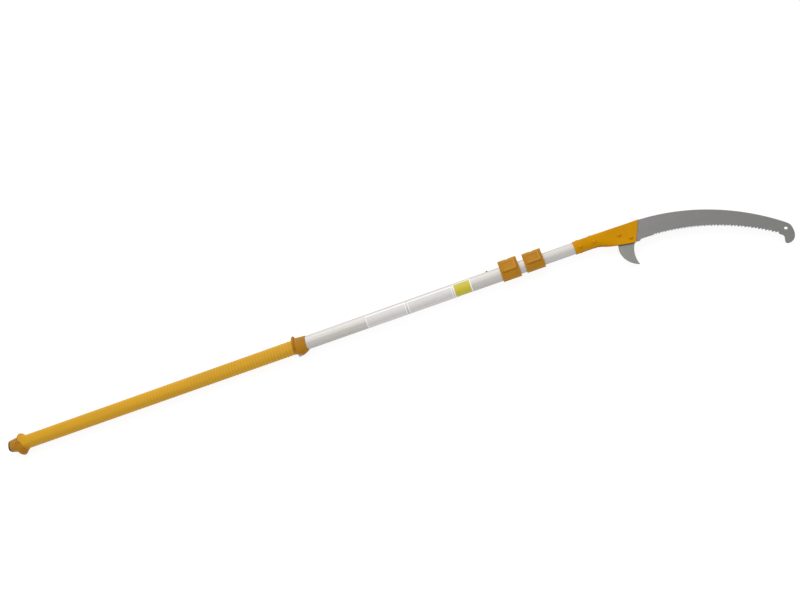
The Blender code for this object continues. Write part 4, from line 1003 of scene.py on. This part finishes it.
def make_lock(number, body, start, half, next_half):
    end = start + LOCK_LENGTH
    middle = start + LOCK_LENGTH / 2
    pivot = (half.y + BOLT_OVER_TUBE, half.z + GAP + COLLAR_FRONT + GAP - PIVOT_BEHIND_LEVER)
    ear_face = pivot[1] - CAM_RADIUS - GAP
    make_collar(number, body, start, half, pivot, ear_face)
    make_lever(number, middle, pivot)

    liner_start = start + TUBE_IN_LOCK + GAP
    wall = half.y - next_half.y - GAP
    liner = tube(f"liner_{number}", liner_start, end - LINER_RECESS, half, wall)
    carve(liner, block("cut", (liner_start - PAST, 0, -SLIT / 2), (end, 2 * half.y, SLIT / 2)))
    piece(liner, body, "white_plastic", f"tube_liner_{number}")

    at = (middle, pivot[0])
    nut_face = -ear_face - GAP
    nut_end = nut_face - DRAW_NUT_HEIGHT
    eye, pin = BOLT_EYE_WIDTH / 2, LEVER_PIN_LENGTH / 2
    bolt = rod(f"eye_bolt_{number}", BOLT_EYE_RADIUS, middle - eye, middle + eye, pivot, "X", 40, BOLT_EDGE)
    shank = rod("join", DRAW_BOLT_RADIUS, nut_end - BOLT_PAST_NUT, pivot[1], at, "Z", 32, ROD_EDGE)
    carve(bolt, shank, operation="UNION")
    drill(bolt, (LEVER_PIN_RADIUS + GAP, start, end, pivot, "X"))
    piece(bolt, body, "steel", f"draw_bolt_{number}")
    nut = hexagon(f"hex_nut_{number}", DRAW_NUT_RADIUS, nut_face, nut_end, at)
    drill(nut, (DRAW_BOLT_RADIUS + GAP, 2 * nut_end, 0, at, "Z"))
    piece(nut, body, "steel", f"draw_nut_{number}")
    hinge = rod(f"hinge_pin_{number}", LEVER_PIN_RADIUS, middle - pin, middle + pin, pivot, "X", 32, ROD_EDGE)
    piece(hinge, body, "steel", f"lever_pin_{number}")


# ---- Bracket ----


def bracket_lines():
    """Lines across the bracket's inner surface, each (upper x, lower x, lower y, stand-off, bulge)."""
    edge = INNER.y + GAP
    bulge = INNER.z + GAP
    socket = BRACKET + SOCKET_LENGTH
    socket_low = socket - SOCKET_RAKE
    closed = TANG - GAP
    closed_low = closed - SOCKET_RAKE / 2
    far_low = BRACKET_END - BRACKET_RAKE
    half_way = BRACKET + SOCKET_LENGTH / 2
    ends = ((BRACKET, BRACKET), (half_way, half_way), (socket, socket_low))
    lines = [(x_up, x_low, -edge, GAP / 2, bulge) for x_up, x_low in ends]
    places = [
        ((socket + closed) / 2, (socket_low + closed_low) / 2),
        (closed, closed_low),
        ((closed + BRACKET_END) / 2, (closed_low + far_low) / 2),
    ]
    for (x_up, x_low), (fallen, opened, bulging) in zip(places, BRACKET_FLATTENS):
        low = -edge - (BRACKET_DEEP - edge) * fallen
        lines.append((x_up, x_low, low, STACK_HALF * opened, bulge * bulging))
    return [*lines, (BRACKET_END, far_low, -BRACKET_DEEP, STACK_HALF, 0)]


def make_bracket_half(name, side, node):
    """One pressed half, on the +Z side (1) or the -Z side (-1), where it ends a little short at its foot."""
    edge = INNER.y + GAP
    short = 0 if side > 0 else pi / 8
    section = []
    for i in range(BRACKET_SIDES + 1):
        turn = (pi - short) * (1 - i / BRACKET_SIDES)
        section.append((squarish(cos(turn)), squarish(max(sin(turn), 0))))
    work = bmesh.new()
    rows = []
    for x_up, x_low, y_low, stand, bulge in rounded(bracket_lines(), 2):
        row = []
        for height, depth in section:
            share = (1 + height) / 2
            x, y = x_low + (x_up - x_low) * share, y_low + (edge - y_low) * share
            row.append(work.verts.new((x, y, side * (stand + bulge * depth))))
        rows.append(row)
    for near, far in zip(rows, rows[1:]):
        for i in range(BRACKET_SIDES):
            corners = (near[i], far[i], far[i + 1], near[i + 1])
            work.faces.new(corners[::side])
    half = draft(name, work, closed=False)
    sheet = half.modifiers.new("sheet", "SOLIDIFY")
    sheet.thickness = SHEET
    sheet.offset = 1
    sheet.use_even_offset = True
    edge_wear_and_sheen = half.modifiers.new("edge", "BEVEL")
    edge_wear_and_sheen.width = SHEET / 5
    edge_wear_and_sheen.segments = 2
    edge_wear_and_sheen.limit_method = "ANGLE"
    edge_wear_and_sheen.angle_limit = radians(60)
    settle(half)
    through = sorted((0, side * 3 * FLOOR_BELOW))
    holes = [(BOLT_RADIUS + GAP, *through, at, "Z") for at in SOCKET_BOLTS + BLADE_BOLTS]
    holes += [(SOCKET_SCREW_RADIUS + GAP, 0, 2 * INNER.y, (x, 0), "Y") for x in SOCKET_SCREWS]
    piece(drill(half, *holes), "head", "bracket_paint", node, 40)


def make_bracket():
    make_bracket_half("bracket_shell_front", 1, "bracket_front")
    make_bracket_half("bracket_shell_back", -1, "bracket_back")
    bolts = [(at, INNER.z + GAP + SHEET + SEAT_GAP) for at in SOCKET_BOLTS]
    bolts += [(at, STACK_HALF + SHEET + SEAT_GAP) for at in BLADE_BOLTS]
    for number, (at, seat) in enumerate(bolts, 1):
        nut_end = -seat - NUT_HEIGHT
        head = hexagon(f"hex_bolt_{number}", BOLT_HEAD_RADIUS, seat, seat + BOLT_HEAD_HEIGHT, at)
        shank_low, shank_high = nut_end - BOLT_RADIUS / 6, seat + BOLT_HEAD_HEIGHT / 2
        shank = rod("join", BOLT_RADIUS, shank_low, shank_high, at, "Z", 32, BOLT_EDGE)
        carve(head, shank, operation="UNION")
        piece(head, "head", "bracket_paint", f"bracket_bolt_{number}")
        nut = hexagon(f"bolt_nut_{number}", BOLT_HEAD_RADIUS, -seat, nut_end, at)
        drill(nut, (BOLT_RADIUS + GAP, 2 * nut_end, 0, at, "Z"))
        piece(nut, "head", "bracket_paint", f"bracket_nut_{number}")
    head_y = INNER.y + GAP + SHEET + SEAT_GAP
    sizes = (SOCKET_SCREW_RADIUS, SOCKET_SCREW_HEAD, head_y - INNER.y + TUBE_WALL)
    for number, x in enumerate(SOCKET_SCREWS, 1):
        screw = dome_screw(f"dome_screw_{number}", *sizes, (x, head_y, 0))
        key = DOME_OVER_SHANK * SOCKET_SCREW_RADIUS / HEAD_OVER_KEY
        drill(screw, (key, head_y + SOCKET_SCREW_HEAD / 3, 2 * head_y, (x, 0), "Y", 6))
        piece(screw, "head", "bracket_paint", f"socket_screw_{number}")


# ---- Blades ----


def height_on(apex, top, radius, x):
    """The height at x of an arc whose highest point is at (apex, top)."""
    return top - radius + sqrt(radius**2 - (x - apex) ** 2)


def offset_corner(here, before, after, one, two):
    """Where the two lines cross that run so far inside the edges that meet at a corner."""
    normal_1 = Vector((-before.y, before.x))
    normal_2 = Vector((-after.y, after.x))
    if abs(before.cross(after)) < STRAIGHT_ON:
        return here + (normal_1 + normal_2).normalized() * (one + two) / 2
    det = normal_1.x * normal_2.y - normal_1.y * normal_2.x
    x = (one * normal_2.y - two * normal_1.y) / det
    y = (normal_1.x * two - normal_2.x * one) / det
    reach = Vector((x, y))
    limit = 4 * max(one, two)
    if reach.length > limit:
        reach = reach.normalized() * limit
    return here + reach


def ground_plate(name, points, grinds, middle, thickness):
    """A flat plate with ground edges.

    Each edge, from a point to the next, has its grind: how far the upper and the lower face end inside it.
    """
    low = middle - thickness / 2
    high = low + thickness
    area = sum(a[0] * b[1] - b[0] * a[1] for a, b in zip(points, points[1:] + points[:1]))
    if area < 0:
        points = points[::-1]
        grinds = grinds[::-1][1:] + grinds[::-1][:1]
    rings = ([], [], [])
    for i, point in enumerate(points):
        here = Vector(point)
        before = (here - Vector(points[i - 1])).normalized()
        after = (Vector(points[(i + 1) % len(points)]) - here).normalized()
        sides = list(zip(grinds[i - 1], grinds[i]))
        over, beneath = [offset_corner(here, before, after, *side) for side in sides]
        upper, lower = [sum(side) for side in sides]
        share = 0.5 + EDGE_SHIFT * (lower - upper) / max(lower + upper, 1e-9)
        rings[0].append((*beneath, low))
        rings[1].append((*here, low + (high - low) * share))
        rings[2].append((*over, high))
    return draft(name, loft(rings))


def blade_outline():
    """The saw blade's outline with its edges' grinds, and its nose hole."""
    hole_x, hole_y = NOSE_HOLE_X, height_on(*SPINE, NOSE_HOLE_X) - NOSE_HOLE_UNDER_SPINE
    spine_end = hole_x + NOSE_EDGE[0][0] * MM - SPINE_BEFORE_NOSE
    tang_top = (INNER.y + GAP) / 2
    points = [(TANG, BLADE_BOLTS[1][1]), (TANG, tang_top), (BRACKET_END - TANG_INSIDE, tang_top)]
    for i in range(SPINE_STEPS + 1):
        x = BRACKET_END + (spine_end - BRACKET_END) * i / SPINE_STEPS
        points.append((x, height_on(*SPINE, x)))
    nose = [points[-1]] + [(hole_x + x * MM, hole_y + y * MM) for x, y in NOSE_EDGE]
    points += rounded(nose, 2)[1:]

    apex, top, radius = EDGE
    heel = BRACKET_END - BRACKET_RAKE + HEEL_FROM_BRACKET
    teeth_from = heel + HEEL_DROP + PLAIN_EDGE
    first = asin((teeth_from - apex) / radius)
    last = asin((hole_x + NOSE_EDGE[-1][0] * MM - apex) / radius)
    step = TOOTH_PITCH / radius
    gullet = TOOTH_DEPTH - TOOTH_PAST_ARC
    plain, fine = (EDGE_BREAK, EDGE_BREAK), EDGE_BREAK / 4
    grinds = [plain] * len(points)

    def on_edge(turn, depth):
        reach = radius + depth
        return (apex + reach * sin(turn), top - radius + reach * cos(turn))

    for i in reversed(range(int((last - first) / step))):
        grinds += [(TOOTH_GRIND, fine) if i % 2 else (fine, TOOTH_GRIND)] * 2
        points.append(on_edge(first + (i + 1) * step, gullet))
        points.append(on_edge(first + (i + TOOTH_LEAN) * step, -TOOTH_PAST_ARC))
    points.append(on_edge(first, gullet))
    for i in range(PLAIN_STEPS + 1):
        x = teeth_from - PLAIN_EDGE * (i + 1) / (PLAIN_STEPS + 1)
        points.append((x, height_on(*EDGE, x)))
    heel_low = top - HEEL_DROP
    corner = [points[-1], (heel, heel_low), (heel - HEEL_FROM_BRACKET, heel_low + HEEL_DROP / 2)]
    points += rounded(corner, 2)[1:]
    points.append((TANG + TANG_CORNER, top + HEEL_DROP / 2))
    grinds += [plain] * (len(points) - len(grinds))
    return points, grinds, (hole_x, hole_y)


def arc(centre_x, centre_y, radius, start, end, count):
    """Points on a circle between two angles in degrees, counted from +X towards +Y."""
    points = []
    for i in range(count + 1):
        turn = radians(start + (end - start) * i / count)
        points.append((centre_x + radius * cos(turn), centre_y + radius * sin(turn)))
    return points


def make_blades():
    points, grinds, nose = blade_outline()
    blade = ground_plate("blade_ground", points, grinds, BLADE_Z, BLADE_THICKNESS)
    reach = 10 * BLADE_THICKNESS
    holes = [(NOSE_HOLE_RADIUS, nose)] + [(BOLT_RADIUS + GAP, at) for at in BLADE_BOLTS]
    drill(blade, *[(radius, -reach, reach, at, "Z", 40) for radius, at in holes])
    piece(blade, "head", "blade_steel", "saw_blade", 15)

    tang_end = TANG + SICKLE_TANG_WIDTH
    tang_top = (INNER.y + GAP) / 4
    tang_low = BLADE_BOLTS[0][1] - BOLT_HEAD_RADIUS
    inner, outer = arc(*SICKLE_INNER), arc(*SICKLE_OUTER)
    points = [(TANG, tang_low), (TANG, tang_top), (tang_end, tang_top), (tang_end + BOLT_RADIUS, tang_low)]
    plain = (EDGE_BREAK, EDGE_BREAK)
    grinds = [plain] * len(points)
    tip = Vector(inner[-1])
    for point in inner:
        room = (Vector(point) - tip).length
        fade = min(room / (5 * SICKLE_GRIND), 1)
        fade *= min((inner[0][1] - point[1]) / (3 * SICKLE_GRIND) + 0.1, 1)
        grinds.append((EDGE_BREAK / 4, max(SICKLE_GRIND * fade, EDGE_BREAK)))
    grinds += [plain] * len(outer)
    sickle = ground_plate("sickle_ground", points + inner + outer, grinds, SICKLE_Z, SICKLE_THICKNESS)
    drill(sickle, *[(BOLT_RADIUS + GAP, -reach, reach, at, "Z") for at in BLADE_BOLTS])
    piece(sickle, "head", "sickle_steel", "sickle_blade", 15)


# ---- Stickers ----


def oval_point(turn, out):
    """The point of the base tube's surface at a turn in degrees from +Y towards +Z, moved out by out."""
    turn = radians(turn)
    return (BASE.y + out) * squarish(cos(turn)), (BASE.z + out) * squarish(sin(turn))


def make_sticker(name, start, end, print_of):
    """A sticker round the tube. print_of tells a cell's material from its column and its row."""
    first, last = STICKER_TURNS
    line = STICKER_LINE
    xs = [start, start + line / 2, start + line * 1.5]
    xs += [start + (end - start) * share for share in (0.25, 0.5, 0.75)]
    xs += [end - line * 1.5, end - line / 2, end]
    rings = []
    for row in range(STICKER_ROWS + 1):
        turn = first + (last - first) * row / STICKER_ROWS
        face, back = [oval_point(turn, out) for out in (STICKER_THICKNESS, STICKER_THICKNESS / 6)]
        rings.append([(x, *face) for x in xs] + [(x, *back) for x in xs[::-1]])
    work = loft(rings)
    for number, face in enumerate(work.faces):
        row, column = divmod(number, len(rings[0]))
        if row < STICKER_ROWS and column < STICKER_COLUMNS:
            face.material_index = print_of(column, row)
    sticker = draft(name, work)
    for look in ("sticker_film", "sticker_white", "sticker_yellow"):
        sticker.data.materials.append(LOOKS[look])
    piece(sticker, "base", "white_plastic")


def framed(column, row):
    """White lines along the sticker and near its ends, film elsewhere."""
    inside = 0 < column < STICKER_COLUMNS - 1 and 1 < row < STICKER_ROWS - 2
    return int(inside and (column in (1, STICKER_COLUMNS - 2) or row in STICKER_LINE_ROWS))


def patch(column, row):
    """A plain yellow field with a pale margin."""
    return 2 if 1 < column < STICKER_COLUMNS - 2 and 1 < row < STICKER_ROWS - 2 else 1


# ---- Everything else: looks of the CAD nodes that still show, floor, world, lights and camera ----


def dress_kept_nodes():
    """Gives the CAD nodes that still show a better material."""
    for obj in frame["nodes"].values():
        if not obj.hide_render:
            for place in obj.material_slots:
                place.material = LOOKS[place.material.name.split(".")[0]]


def rays_of(tree, first, *others):
    """1 for rays of these kinds and 0 for the others."""
    seen = add(tree, "LightPath", {}, first)
    for kind in others:
        seen = add(tree, "Math", {0: seen, 1: add(tree, "LightPath", {}, kind)}, operation="MAXIMUM")
    return seen


def make_floor():
    look = Look("floor", 0.9, specular=0.1)
    tree = look.tree
    grey = look.mix(look.ramp(look.noise(1.2, 2), 0.3, 0.7), (0.80, 0.80, 0.80, 1), (0.82, 0.82, 0.82, 1))
    tree.links.new(grey, look.shader.inputs["Base Color"])
    glow = add(tree, "Emission", {"Color": (1, 1, 1, 1), "Strength": FLOOR_GLOW})
    share = look.multiply(rays_of(tree, "Is Camera Ray", "Is Glossy Ray"), FLOOR_GLOW_SHARE)
    blend = add(tree, "MixShader", {0: share, 1: look.shader.outputs["BSDF"], 2: glow})
    tree.links.new(blend, tree.nodes["Material Output"].inputs["Surface"])

    work = bmesh.new()
    corners = [(-1, -1), (1, -1), (1, 1), (-1, 1)]
    drop = -FLOOR_BELOW - FLOOR_DROP
    work.faces.new([work.verts.new((a * FLOOR_HALF - AXIS.x, b * FLOOR_HALF, drop)) for a, b in corners])
    floor = draft("floor", work)
    floor.data.transform(Matrix.Translation(AXIS))
    floor.data.materials.append(look.material)


def make_world():
    world = bpy.data.worlds.new("studio")
    bpy.context.scene.world = world
    world.use_nodes = True
    tree = world.node_tree
    tree.nodes.clear()
    seen = rays_of(tree, "Is Camera Ray", "Is Transmission Ray", "Is Glossy Ray")
    fill = add(tree, "Background", {"Color": (0.98, 0.99, 1.0, 1), "Strength": WORLD_STRENGTH})
    white = add(tree, "Background", {"Color": (1, 1, 1, 1), "Strength": 1.0})
    add(tree, "OutputWorld", {"Surface": add(tree, "MixShader", {0: seen, 1: fill, 2: white})})


def make_lamp(name, place, target, energy):
    lamp = bpy.data.lights.new(name, "AREA")
    lamp.shape = "SQUARE"
    lamp.size = LAMP_SIZE
    lamp.energy = energy
    obj = add_object(name, lamp)
    obj.location = place
    obj.rotation_euler = (Vector(target) - Vector(place)).to_track_quat("-Z", "Y").to_euler()


def make_camera():
    camera = bpy.data.cameras.new("camera")
    camera.sensor_width = SENSOR
    camera.lens = FOCAL_PIXELS / PICTURE_WIDTH * SENSOR
    obj = add_object("camera", camera)
    obj.location = CAMERA_PLACE + AXIS
    obj.rotation_euler = Euler([radians(turn) for turn in CAMERA_TURNS], "XYZ")
    bpy.context.scene.camera = obj


clear_default_objects()
make_camera()
make_butt()
make_sleeve()
make_hand_stop()
make_tubes()
make_release_button()
make_lock(1, "base", LOCK_1, BASE, MIDDLE)
make_lock(2, "middle", LOCK_2, MIDDLE, INNER)
make_bracket()
make_blades()
for number, panel in enumerate(STICKER_PANELS, 1):
    make_sticker(f"sticker_{number}", *panel, framed)
make_sticker("sticker_patch", *STICKER_PATCH, patch)
dress_kept_nodes()
make_floor()
make_world()
for lamp in LAMPS:
    make_lamp(*lamp)

bpy.context.scene.view_settings.view_transform = "Standard"
